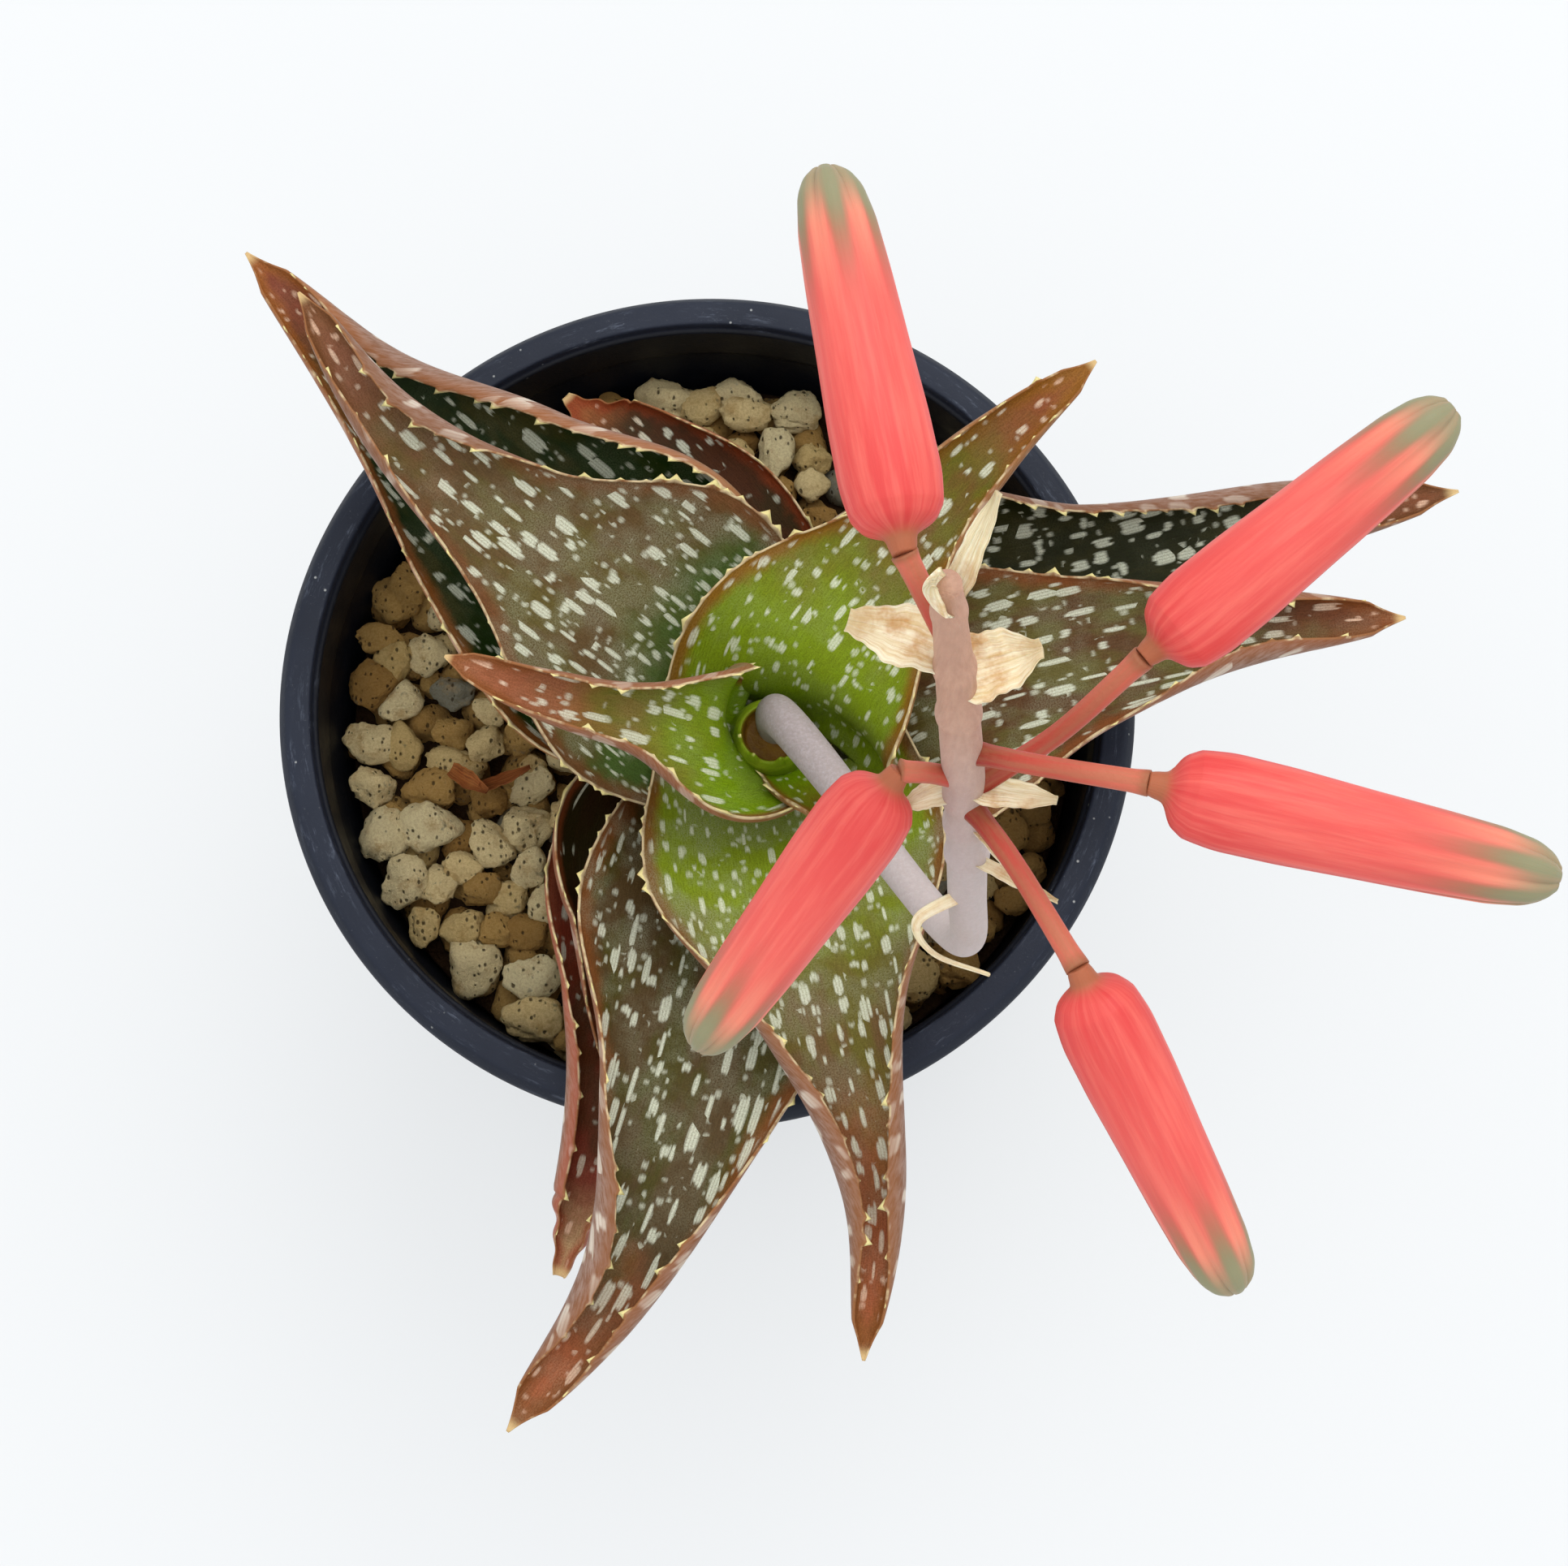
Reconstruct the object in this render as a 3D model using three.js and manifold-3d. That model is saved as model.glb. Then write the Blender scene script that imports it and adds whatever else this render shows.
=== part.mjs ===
// Aloe ruffingiana in flower, in a round black nursery pot.
// Millimetres, +Z up. The origin is the centre of the pot's flat underside.

import * as THREE from 'three';
import { mergeVertices } from 'three/addons/utils/BufferGeometryUtils.js';
import Module from 'manifold-3d';

const wasm = await Module();
wasm.setup();

// Space left between neighbouring pieces
const GAP = 0.3;
const CUTTER_GROWTH = 0.5;

// Pot
const POT_HEIGHT = 78;
const RIM_RADIUS = 45;
const RIM_INNER_RADIUS = 41.5;
const COLLAR_HEIGHT = 5;
const COLLAR_FOOT_RADIUS = 44.6;
const WALL_TOP_RADIUS = 42.4;
const BASE_RADIUS = 31.5;
const WALL = 1.5;
const FLOOR = 2;
const LIP_STEP = 1;
const SHOULDER_HEIGHT = 72;
const POT_SIDES = 44;
const DRAIN_HOLES = 8;
const DRAIN_RADIUS = 3;
const DRAIN_CIRCLE_RADIUS = 21;

// Substrate
const SOIL_TOP = 65.5;
const GRAINS = 90;
const GRAIN_FIELD_RADIUS = 36.2;
const GRAIN_SMALLEST = 2.3;
const GRAIN_LARGEST = 3.4;
const GRAIN_RISE = 0.7;

// Rosette
const ROSETTE = { x: 7, y: -6 };
const STEM_FOOT = 58;
const STEM_TOP = 79.5;
const STEM_RADIUS = 5.6;
const LEAF_THICKNESS = 2.4;
const MARGIN_THICKNESS = 0.7;
const LEAF_HALF_STRIPS = 3;
const TEETH = 9;
const TOOTH_WIDTH = 1.4;
const TOOTH_HEIGHT = 1.1;
const CUP_EVENNESS = 0.45;

// Flowers
const FLOWER_SIDES = 10;
const PEDICEL_RADIUS = 0.85;
const FLOWER_SEAT = 1.4;

const COLOURS = {
  pot: 0x232936, soil: 0xc9b88c, stem: 0x7c6a45, stalk: 0xaf9fab, flower: 0xf5645f,
};

// Every leaf is set out at five stations from its base to its tip: the midrib's points, half the
// width of the flattened blade, and how many degrees the left and right halves curl up.
const LEAVES = {
  leaf_12: {
    spine: [[8.5, -9, 81], [9.5, -11.5, 87], [11.5, -14.5, 91], [13.5, -17.5, 94], [15.5, -21, 96]],
    half: [3.2, 3.5, 2.8, 1.6, 0.4], left: [50, 50, 40, 30, 10], right: [50, 50, 40, 30, 10],
    colour: 0x6f8a1c,
  },
  leaf_01: {
    spine: [[4.5, -7.5, 80.5], [1.5, -8.5, 90], [-6, -7, 96], [-15, -5, 101], [-23.5, -1.5, 104]],
    half: [8, 8.5, 3.5, 1.8, 0.4], left: [85, 60, 55, 30, 10], right: [85, 75, 70, 50, 10],
    colour: 0x7f8f22,
  },
  leaf_02: {
    spine: [[9, -3.5, 79], [11, -0.5, 88], [19.5, 8, 94], [29.5, 17, 98], [40.5, 24.5, 102]],
    half: [14, 12, 5, 2.4, 0.4], left: [60, 40, 30, 30, 20], right: [60, 45, 35, 35, 20],
    colour: 0x7a7a2a,
  },
  leaf_03: {
    spine: [[7.5, -9, 78], [8.5, -21.5, 86], [11, -37.5, 91], [13.5, -53.5, 91], [11.5, -68.5, 88]],
    half: [14, 15, 7, 3, 0.4], left: [60, 35, 60, 90, 30], right: [60, 40, 60, 90, 30],
    colour: 0x6a5c2c,
  },
  leaf_04: {
    spine: [[4, -3, 76], [-5.5, 5, 85], [-18, 14.5, 92], [-29.5, 25.5, 96], [-37.5, 38.5, 99]],
    half: [13, 16.5, 7.2, 3.2, 0.4], left: [60, 35, 35, 60, 30], right: [60, 35, 45, 80, 30],
    colour: 0x6b5c3a,
  },
  leaf_09: {
    spine: [[4.5, -10.5, 74], [1, -26, 83], [-4, -43.5, 87.5], [-12, -60.5, 87], [-23, -73, 83]],
    half: [12, 15.7, 9, 3.7, 0.4], left: [60, 35, 40, 50, 10], right: [60, 50, 60, 80, 10],
    colour: 0x5c4a28,
  },
  leaf_08: {
    spine: [[11.5, -8, 75], [23.5, -4, 83], [39, -1.5, 88], [55.5, -0.5, 91], [70.5, 0, 90]],
    half: [11, 14, 8, 4, 0.4], left: [60, 40, 45, 85, 30], right: [60, 35, 40, 85, 30],
    colour: 0x654a2c,
  },
  leaf_05: {
    spine: [[3, -2, 72], [-8, 8.5, 80], [-20.5, 20.5, 85], [-32.5, 32.5, 89], [-44, 46, 93]],
    half: [11, 17.8, 12.2, 4.6, 0.4], left: [60, 50, 50, 60, 30], right: [60, 60, 80, 90, 30],
    colour: 0x4a4022,
  },
  leaf_10: {
    spine: [[1.5, -9.5, 72], [-7, -14.5, 77], [-7.5, -24.5, 80], [-8, -35.5, 81.5], [-9.5, -46, 81]],
    half: [8, 9.5, 8, 5, 0.5], left: [40, 30, 20, 20, 10], right: [40, 55, 75, 50, 10],
    colour: 0x54331f,
  },
  leaf_07: {
    spine: [[11, -2, 72.5], [21, 7, 78], [41, 9, 83], [59.5, 11.5, 87], [78, 13.5, 88]],
    half: [10, 12.4, 6.7, 4, 0.4], left: [60, 60, 75, 80, 30], right: [60, 35, 40, 50, 30],
    colour: 0x3c3a20,
  },
  leaf_11: {
    spine: [[1, -8.5, 70.5], [-7, -18, 74.5], [-9.5, -31.5, 78.5], [-13, -45.5, 81], [-18, -58.5, 77]],
    half: [7.5, 10.5, 7, 3.7, 1.8], left: [40, 30, 50, 90, 60], right: [40, 50, 70, 90, 60],
    colour: 0x5a2c1c,
  },
  leaf_06: {
    spine: [[6.5, -0.5, 71.5], [5.5, 9.5, 73], [0.5, 19, 74.5], [-6.5, 27.5, 75], [-13.5, 35.5, 74.5]],
    half: [7, 9, 9, 5.6, 1], left: [20, 20, 20, 20, 10], right: [20, 25, 30, 30, 10],
    colour: 0x6a4526,
  },
};

// The stalk leans out of the heart of the rosette, bends upright and bears the flowers
const STALK_PATH = [
  [7.2, -5.4, 80], [7.5, -5.9, 90], [12.5, -14.6, 97], [17, -23.8, 104], [20.7, -30.9, 111],
  [22.3, -33.4, 118], [21.9, -31.4, 128], [21.2, -27.8, 143], [20, -23.8, 160], [18.6, -20.1, 177],
];
const STALK_RADII = [2.1, 2.1, 1.9, 1.7, 1.7, 1.75, 1.75, 1.7, 1.5, 1.1];

// Each pedicel runs from the stalk to the base of its flower, and the flower on to its tip
const BLOOMS = [
  { pedicel: [[19.4, -21.9, 168], [18.2, -20, 170], [16.4, -16.3, 172]], tip: [13, 11.2, 172] },
  { pedicel: [[21, -27.1, 147], [27.5, -24.4, 152], [33.5, -20.6, 158]], tip: [55.6, -5.8, 164] },
  { pedicel: [[20.6, -25.3, 153], [25.5, -27.4, 156], [33, -29.7, 158]], tip: [61, -38, 156] },
  { pedicel: [[21.1, -27.5, 146], [24, -33, 148.5], [27.8, -41.2, 150]], tip: [38.9, -64.3, 137] },
  { pedicel: [[20.8, -26.6, 149], [18.4, -26.4, 151], [16, -26.2, 151.5]], tip: [-0.3, -43.7, 138.5] },
];
const FLOWER_PROFILE = [
  [0, 1.3], [0.02, 2.5], [0.06, 3.2], [0.14, 3.5], [0.3, 3.45], [0.5, 3.2],
  [0.7, 3], [0.84, 2.8], [0.93, 2.4], [0.98, 1.7], [1, 0.9],
];

// Dry bracts and spent flowers that still hang on the stalk: ends, half width and half thickness
const DRY_PIECES = [
  { from: [19.4, -21.8, 166], to: [12.6, -18.6, 165], width: 2.2, thickness: 0.8 },
  { from: [19.6, -22.6, 163], to: [25.6, -21.4, 165], width: 2.4, thickness: 0.8 },
  { from: [18.8, -20.6, 173], to: [22.3, -14.6, 178], width: 0.9, thickness: 0.5 },
  { from: [18.7, -20.6, 175], to: [17.6, -21.4, 182], width: 1.5, thickness: 0.8 },
  { from: [20.8, -26.6, 147], to: [16.4, -27.4, 145], width: 1.1, thickness: 0.5 },
  { from: [20.9, -26.9, 148], to: [27.4, -28.8, 150], width: 1.2, thickness: 0.5 },
  { from: [21.2, -28, 143], to: [27, -35, 141], width: 0.8, thickness: 0.5 },
  { from: [21.7, -30.2, 137], to: [28.4, -33.8, 135], width: 0.6, thickness: 0.5 },
];
const DRY_THREAD = [[21.9, -31.6, 130], [17.7, -33.4, 128], [19, -35.6, 124], [23.6, -37.4, 122]];
const DRY_THREAD_RADIUS = 0.5;

// A repeatable draw between 0 and 1 for item `index` and purpose `salt`
function draw(index, salt) {
  const value = Math.sin(index * 12.9898 + salt * 78.233) * 43758.5453;
  return value - Math.floor(value);
}

function vector(point) {
  return new THREE.Vector3(...point);
}

function smoothCurve(points) {
  return new THREE.CatmullRomCurve3(points.map(vector), false, 'catmullrom', 0.5);
}

// A smooth run through evenly spaced values, read at t from 0 to 1
function smoothValue(values, t) {
  const last = values.length - 1;
  const index = Math.min(Math.floor(t * last), last - 1);
  const f = t * last - index;
  const b = values[index];
  const c = values[index + 1];
  const a = index > 0 ? values[index - 1] : 2 * b - c;
  const d = index + 2 <= last ? values[index + 2] : 2 * c - b;
  const quadratic = 2 * a - 5 * b + 4 * c - d;
  const cubic = 3 * b - a - 3 * c + d;
  return 0.5 * (2 * b + (c - a) * f + quadratic * f * f + cubic * f * f * f);
}

// A solid from a closed three.js geometry
function solidOf(geometry) {
  const plain = geometry.index ? geometry.clone() : geometry;
  for (const name of Object.keys(plain.attributes)) {
    if (name !== 'position') plain.deleteAttribute(name);
  }
  const merged = mergeVertices(plain, 1e-4);
  const corners = merged.index.array;
  const kept = [];
  for (let i = 0; i < corners.length; i += 3) {
    const [a, b, c] = [corners[i], corners[i + 1], corners[i + 2]];
    if (a !== b && b !== c && c !== a) kept.push(a, b, c);
  }
  const vertProperties = new Float32Array(merged.attributes.position.array);
  const triVerts = new Uint32Array(kept);
  return new wasm.Manifold(new wasm.Mesh({ numProp: 3, vertProperties, triVerts }));
}

// A solid from points and triangles
function solidFrom(points, triangles) {
  const geometry = new THREE.BufferGeometry();
  geometry.setAttribute('position', new THREE.Float32BufferAttribute(points.flat(), 3));
  geometry.setIndex(triangles.flat());
  return solidOf(geometry);
}

function geometryOf(solid) {
  const mesh = solid.getMesh();
  const geometry = new THREE.BufferGeometry();
  geometry.setAttribute('position', new THREE.BufferAttribute(mesh.vertProperties, 3));
  geometry.setIndex(new THREE.BufferAttribute(mesh.triVerts, 1));
  geometry.computeVertexNormals();
  return geometry;
}

// The largest piece of a solid, without loose scraps
function mainPiece(solid) {
  const pieces = solid.decompose();
  return pieces.reduce((best, piece) => (piece.volume() > best.volume() ? piece : best));
}

function lathe(profile, sides) {
  const points = profile.map(([radius, height]) => new THREE.Vector2(radius, height));
  const geometry = new THREE.LatheGeometry(points, sides);
  geometry.rotateX(Math.PI / 2);
  return solidOf(geometry);
}

function cylinder(x, y, bottom, top, radius, sides) {
  const geometry = new THREE.CylinderGeometry(radius, radius, top - bottom, sides);
  geometry.rotateX(Math.PI / 2);
  geometry.translate(x, y, (bottom + top) / 2);
  return solidOf(geometry);
}

// Rings of points joined into a closed solid, with both ends closed by fans
function loft(rings) {
  const sides = rings[0].length;
  const points = rings.flat();
  const triangles = [];
  for (let i = 0; i + 1 < rings.length; i++) {
    for (let k = 0; k < sides; k++) {
      const next = (k + 1) % sides;
      const a = i * sides + k;
      const b = i * sides + next;
      triangles.push([a, b, b + sides], [a, b + sides, a + sides]);
    }
  }
  const lastRing = (rings.length - 1) * sides;
  for (let k = 1; k + 1 < sides; k++) {
    triangles.push([0, k + 1, k], [lastRing, lastRing + k, lastRing + k + 1]);
  }
  return solidFrom(points, triangles);
}

// A rod along a curve. radiusAt gives the half width and the half thickness at t from 0 to 1.
function rod(curve, steps, sides, radiusAt) {
  const frames = curve.computeFrenetFrames(steps, false);
  const rings = [];
  for (let i = 0; i <= steps; i++) {
    const centre = curve.getPointAt(i / steps);
    const [wide, thin] = radiusAt(i / steps);
    const ring = [];
    for (let k = 0; k < sides; k++) {
      const angle = (k / sides) * 2 * Math.PI;
      const point = centre.clone()
        .addScaledVector(frames.normals[i], wide * Math.cos(angle))
        .addScaledVector(frames.binormals[i], thin * Math.sin(angle));
      ring.push(point.toArray());
    }
    rings.push(ring);
  }
  return loft(rings);
}

// Pot

function innerWallRadius(height) {
  const outer = BASE_RADIUS + ((WALL_TOP_RADIUS - BASE_RADIUS) * height) / (POT_HEIGHT - COLLAR_HEIGHT);
  return outer - WALL;
}

function potSolid() {
  const collarFoot = POT_HEIGHT - COLLAR_HEIGHT;
  const lip = RIM_INNER_RADIUS - LIP_STEP;
  let pot = lathe([
    [0, 0], [BASE_RADIUS - 1, 0], [BASE_RADIUS, 1],
    [WALL_TOP_RADIUS, collarFoot], [COLLAR_FOOT_RADIUS, collarFoot],
    [RIM_RADIUS, POT_HEIGHT - 1.2], [RIM_RADIUS - 1, POT_HEIGHT],
    [RIM_INNER_RADIUS, POT_HEIGHT], [RIM_INNER_RADIUS - 0.2, POT_HEIGHT - 0.8],
    [lip, POT_HEIGHT - 1], [lip - 0.2, SHOULDER_HEIGHT],
    [innerWallRadius(SHOULDER_HEIGHT - 1), SHOULDER_HEIGHT - 1],
    [innerWallRadius(FLOOR + 1), FLOOR + 1], [innerWallRadius(FLOOR) - 1, FLOOR], [0, FLOOR],
  ], POT_SIDES);
  for (let i = 0; i < DRAIN_HOLES; i++) {
    const angle = (i / DRAIN_HOLES) * 2 * Math.PI;
    const x = DRAIN_CIRCLE_RADIUS * Math.cos(angle);
    const y = DRAIN_CIRCLE_RADIUS * Math.sin(angle);
    pot = pot.subtract(cylinder(x, y, -1, FLOOR + 1, DRAIN_RADIUS, 10));
  }
  return pot;
}

// Substrate

// One rough grain of substrate, half sunk in the bed
function grainSolid(index) {
  const angle = index * Math.PI * (3 - Math.sqrt(5));
  const reach = GRAIN_FIELD_RADIUS * Math.sqrt((index + 0.5) / GRAINS);
  const size = GRAIN_SMALLEST + (GRAIN_LARGEST - GRAIN_SMALLEST) * draw(index, 1);
  const geometry = new THREE.IcosahedronGeometry(size, 0);
  geometry.scale(1.1, 0.95, 0.85);
  geometry.rotateX(draw(index, 2) * Math.PI);
  geometry.rotateZ(draw(index, 3) * Math.PI);
  geometry.translate(
    reach * Math.cos(angle) + draw(index, 4) - 0.5,
    reach * Math.sin(angle) + draw(index, 5) - 0.5,
    SOIL_TOP + GRAIN_RISE + draw(index, 6),
  );
  return solidOf(geometry);
}

function soilSolid() {
  const wallClear = (height) => innerWallRadius(height) - GAP;
  let soil = lathe([
    [0, FLOOR + GAP], [wallClear(FLOOR) - 1.2, FLOOR + GAP], [wallClear(FLOOR + 1.5), FLOOR + 1.5],
    [wallClear(SOIL_TOP), SOIL_TOP], [0, SOIL_TOP],
  ], POT_SIDES);
  const grains = [];
  for (let i = 0; i < GRAINS; i++) grains.push(grainSolid(i));
  soil = wasm.Manifold.union([soil, ...grains]);
  const hole = cylinder(ROSETTE.x, ROSETTE.y, STEM_FOOT - GAP, STEM_TOP, STEM_RADIUS + 2 * GAP, 16);
  return mainPiece(soil.subtract(hole));
}

// Rosette

function stemSolid(grow) {
  const radius = STEM_RADIUS + grow;
  const stem = lathe([
    [0, STEM_FOOT - grow], [radius, STEM_FOOT - grow], [radius, 70], [radius - 1, 76],
    [radius - 1.8, STEM_TOP + grow], [0, STEM_TOP + grow],
  ], 16);
  return stem.translate([ROSETTE.x, ROSETTE.y, 0]);
}

// The points across one half of a blade, from the midrib to the margin, as distances out and up,
// with the direction of the blade at each
function halfSection(halfWidth, curl) {
  const section = [{ out: 0, up: 0, slope: 0 }];
  for (let k = 1; k <= LEAF_HALF_STRIPS; k++) {
    const middle = (k - 0.5) / LEAF_HALF_STRIPS;
    const slopeAt = (s) => curl * (CUP_EVENNESS * s + (1 - CUP_EVENNESS) * s ** 3);
    const before = section[k - 1];
    section.push({
      out: before.out + (halfWidth / LEAF_HALF_STRIPS) * Math.cos(slopeAt(middle)),
      up: before.up + (halfWidth / LEAF_HALF_STRIPS) * Math.sin(slopeAt(middle)),
      slope: slopeAt(k / LEAF_HALF_STRIPS),
    });
  }
  return section;
}

// One station of a leaf: the upper points from the right margin to the left, the lower points back
// again, and the direction in which the teeth of each margin point
function leafStation(leaf, curve, t, grow) {
  const centre = curve.getPointAt(t);
  const along = curve.getTangentAt(t);
  if (t === 0) centre.addScaledVector(along, -grow);
  if (t === 1) centre.addScaledVector(along, grow);
  const normal = new THREE.Vector3(0, 0, 1).addScaledVector(along, -along.z).normalize();
  const left = new THREE.Vector3().crossVectors(normal, along);
  const halfWidth = Math.max(smoothValue(leaf.half, t), 0.3) + grow;
  const midThickness = LEAF_THICKNESS * (1 - 0.6 * t);
  const upper = [];
  const lower = [];
  const toothWay = {};
  for (const side of [-1, 1]) {
    const curl = THREE.MathUtils.degToRad(smoothValue(side > 0 ? leaf.left : leaf.right, t));
    const section = halfSection(halfWidth, curl);
    section.forEach(({ out, up, slope }, k) => {
      if (k === 0 && side > 0) return;
      const share = k / LEAF_HALF_STRIPS;
      const thickness = MARGIN_THICKNESS + (midThickness - MARGIN_THICKNESS) * (1 - share * share);
      const top = centre.clone().addScaledVector(left, side * out).addScaledVector(normal, up);
      const skin = new THREE.Vector3()
        .addScaledVector(left, -side * Math.sin(slope))
        .addScaledVector(normal, Math.cos(slope));
      const bottom = top.clone().addScaledVector(skin, -thickness - grow);
      top.addScaledVector(skin, grow);
      if (side < 0) {
        upper.unshift(top);
        lower.push(bottom);
      } else {
        upper.push(top);
        lower.unshift(bottom);
      }
    });
    const { slope } = section[LEAF_HALF_STRIPS];
    toothWay[side] = new THREE.Vector3()
      .addScaledVector(left, side * Math.cos(slope))
      .addScaledVector(normal, Math.sin(slope))
      .addScaledVector(along, 0.4);
  }
  return { ring: [...upper, ...lower], toothWay };
}

// The blade as rings, with a tooth on both margins in every second stretch between two rings
function leafSolid(leaf, grow = 0) {
  const curve = smoothCurve(leaf.spine);
  const halfTooth = TOOTH_WIDTH / 2 / curve.getLength();
  const places = [0];
  for (let i = 0; i < TEETH; i++) {
    const middle = (i + 0.7) / (TEETH + 0.4);
    places.push(middle - halfTooth, middle + halfTooth);
  }
  places.push(1);
  const stations = places.map((t) => leafStation(leaf, curve, t, grow));
  const sides = stations[0].ring.length;
  const half = sides / 2;
  const points = stations.flatMap(({ ring }) => ring.map((point) => point.toArray()));
  const triangles = [];
  for (let i = 0; i + 1 < stations.length; i++) {
    for (let k = 0; k < sides; k++) {
      const next = (k + 1) % sides;
      const corners = [i * sides + k, (i + 1) * sides + k, (i + 1) * sides + next, i * sides + next];
      const isTooth = i % 2 === 1 && (k === half - 1 || k === sides - 1);
      if (isTooth) {
        const side = k === half - 1 ? 1 : -1;
        const height = TOOTH_HEIGHT * (1 - 0.4 * places[i]) + grow;
        const apex = new THREE.Vector3();
        corners.forEach((corner) => apex.addScaledVector(vector(points[corner]), 0.25));
        apex.addScaledVector(stations[i].toothWay[side], height);
        points.push(apex.toArray());
        const tip = points.length - 1;
        corners.forEach((corner, c) => triangles.push([corner, corners[(c + 1) % 4], tip]));
      } else {
        triangles.push([corners[0], corners[1], corners[2]], [corners[0], corners[2], corners[3]]);
      }
    }
  }
  const lastRing = (stations.length - 1) * sides;
  for (let k = 0; k + 1 < half; k++) {
    const [a, b, c, d] = [k, k + 1, sides - 2 - k, sides - 1 - k];
    triangles.push([a, b, c], [a, c, d]);
    triangles.push([lastRing + a, lastRing + c, lastRing + b], [lastRing + a, lastRing + d, lastRing + c]);
  }
  return solidFrom(points, triangles);
}

// Flower stalk

function taperedRod(points, radii, steps, sides, grow = 0) {
  return rod(smoothCurve(points), steps, sides, (t) => {
    const radius = smoothValue(radii, t) + grow;
    return [radius, radius];
  });
}

// A dry bract or spent flower: a flat spindle that starts inside the stalk
function dryPieceSolid({ from, to, width, thickness }) {
  return rod(new THREE.LineCurve3(vector(from), vector(to)), 3, 6, (t) => {
    const swell = 0.35 + 0.65 * Math.sin(Math.PI * Math.min(0.25 + 0.75 * t, 0.95));
    return [width * swell, thickness * Math.max(swell, 0.7)];
  });
}

function stalkSolid() {
  const pieces = [taperedRod(STALK_PATH, STALK_RADII, 20, 8)];
  for (const { pedicel } of BLOOMS) {
    pieces.push(taperedRod(pedicel, [PEDICEL_RADIUS, PEDICEL_RADIUS, PEDICEL_RADIUS + 0.25], 3, 6));
  }
  for (const piece of DRY_PIECES) pieces.push(dryPieceSolid(piece));
  pieces.push(taperedRod(DRY_THREAD, [DRY_THREAD_RADIUS, DRY_THREAD_RADIUS], 7, 5));
  return mainPiece(wasm.Manifold.union(pieces));
}

// Flowers

function flowerSolid({ pedicel, tip }) {
  const end = vector(tip);
  const foot = vector(pedicel[pedicel.length - 1]);
  const way = end.clone().sub(foot).normalize();
  foot.addScaledVector(way, FLOWER_SEAT);
  const line = new THREE.LineCurve3(foot, end);
  const frames = line.computeFrenetFrames(1, false);
  const rings = FLOWER_PROFILE.map(([t, radius]) => {
    const ring = [];
    for (let k = 0; k < FLOWER_SIDES; k++) {
      const angle = (k / FLOWER_SIDES) * 2 * Math.PI;
      const lobed = radius * (1 + 0.05 * Math.cos(3 * angle));
      const point = line.getPoint(t)
        .addScaledVector(frames.normals[0], lobed * Math.cos(angle))
        .addScaledVector(frames.binormals[0], lobed * Math.sin(angle));
      ring.push(point.toArray());
    }
    return ring;
  });
  return loft(rings);
}

// Assembly

const plant = new THREE.Group();

function addPiece(name, solid, colour, roughness) {
  const material = new THREE.MeshStandardMaterial({ color: colour, roughness, metalness: 0 });
  const piece = new THREE.Mesh(geometryOf(solid), material);
  piece.name = name;
  plant.add(piece);
}

addPiece('pot', potSolid(), COLOURS.pot, 0.5);
addPiece('soil', soilSolid(), COLOURS.soil, 0.95);
addPiece('stem', stemSolid(0), COLOURS.stem, 0.8);

// The leaves are listed from the heart outwards, and each is cut clear of those before it
const cutters = [stemSolid(GAP), taperedRod(STALK_PATH, STALK_RADII, 20, 8, GAP)];
for (const [name, leaf] of Object.entries(LEAVES)) {
  const clear = wasm.Manifold.difference([leafSolid(leaf), ...cutters]);
  addPiece(name, mainPiece(clear), leaf.colour, 0.5);
  cutters.push(leafSolid(leaf, CUTTER_GROWTH));
}

addPiece('flower_stalk', stalkSolid(), COLOURS.stalk, 0.6);
BLOOMS.forEach((bloom, i) => addPiece(`flower_${i + 1}`, flowerSolid(bloom), COLOURS.flower, 0.45));

export default plant;
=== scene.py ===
"""Aloe ruffingiana in flower, in a round black nursery pot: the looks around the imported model.

Shapes are set out in millimetres, as in the part's source, and become metres in mesh_piece.
"""

import math

import bpy
import numpy as np
from mathutils import Matrix, Vector, noise


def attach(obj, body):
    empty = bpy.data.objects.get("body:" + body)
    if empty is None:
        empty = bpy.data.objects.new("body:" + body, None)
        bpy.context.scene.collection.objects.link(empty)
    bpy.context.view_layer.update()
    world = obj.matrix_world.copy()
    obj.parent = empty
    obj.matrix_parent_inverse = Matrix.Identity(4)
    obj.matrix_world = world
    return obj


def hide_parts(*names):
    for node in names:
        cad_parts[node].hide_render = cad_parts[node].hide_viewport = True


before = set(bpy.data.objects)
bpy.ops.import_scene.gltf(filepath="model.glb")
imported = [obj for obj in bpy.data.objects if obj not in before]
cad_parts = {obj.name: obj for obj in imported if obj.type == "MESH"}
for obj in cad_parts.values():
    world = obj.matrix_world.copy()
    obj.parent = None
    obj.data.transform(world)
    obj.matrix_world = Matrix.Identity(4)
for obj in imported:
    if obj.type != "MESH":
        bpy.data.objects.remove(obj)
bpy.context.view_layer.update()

MM = 0.001
SEED = 7198

# Camera, found from the rim's outline: it looks down from the pot's south side
IMAGE_WIDTH = 1932
FOCAL_PIXELS = 3000
SENSOR_WIDTH = 36
CAMERA_TILT = math.radians(12.66)
CAMERA_ROLL = math.radians(-3.75)
CAMERA_DISTANCE = 254.5
POT_RIM_IN_IMAGE = (-96.5, 108.9)

# Pot
POT_HEIGHT = 78
RIM_RADIUS = 45
RIM_INNER_RADIUS = 41.5
COLLAR_HEIGHT = 5
COLLAR_FOOT_RADIUS = 44.6
WALL_TOP_RADIUS = 42.4
BASE_RADIUS = 31.5
WALL = 1.1
FLOOR = 2
LIP_STEP = 0.7
SHOULDER_HEIGHT = 72
DRAIN_HOLES = 8
DRAIN_RADIUS = 3
DRAIN_CIRCLE_RADIUS = 21
POT_SIDES = 256

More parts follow.
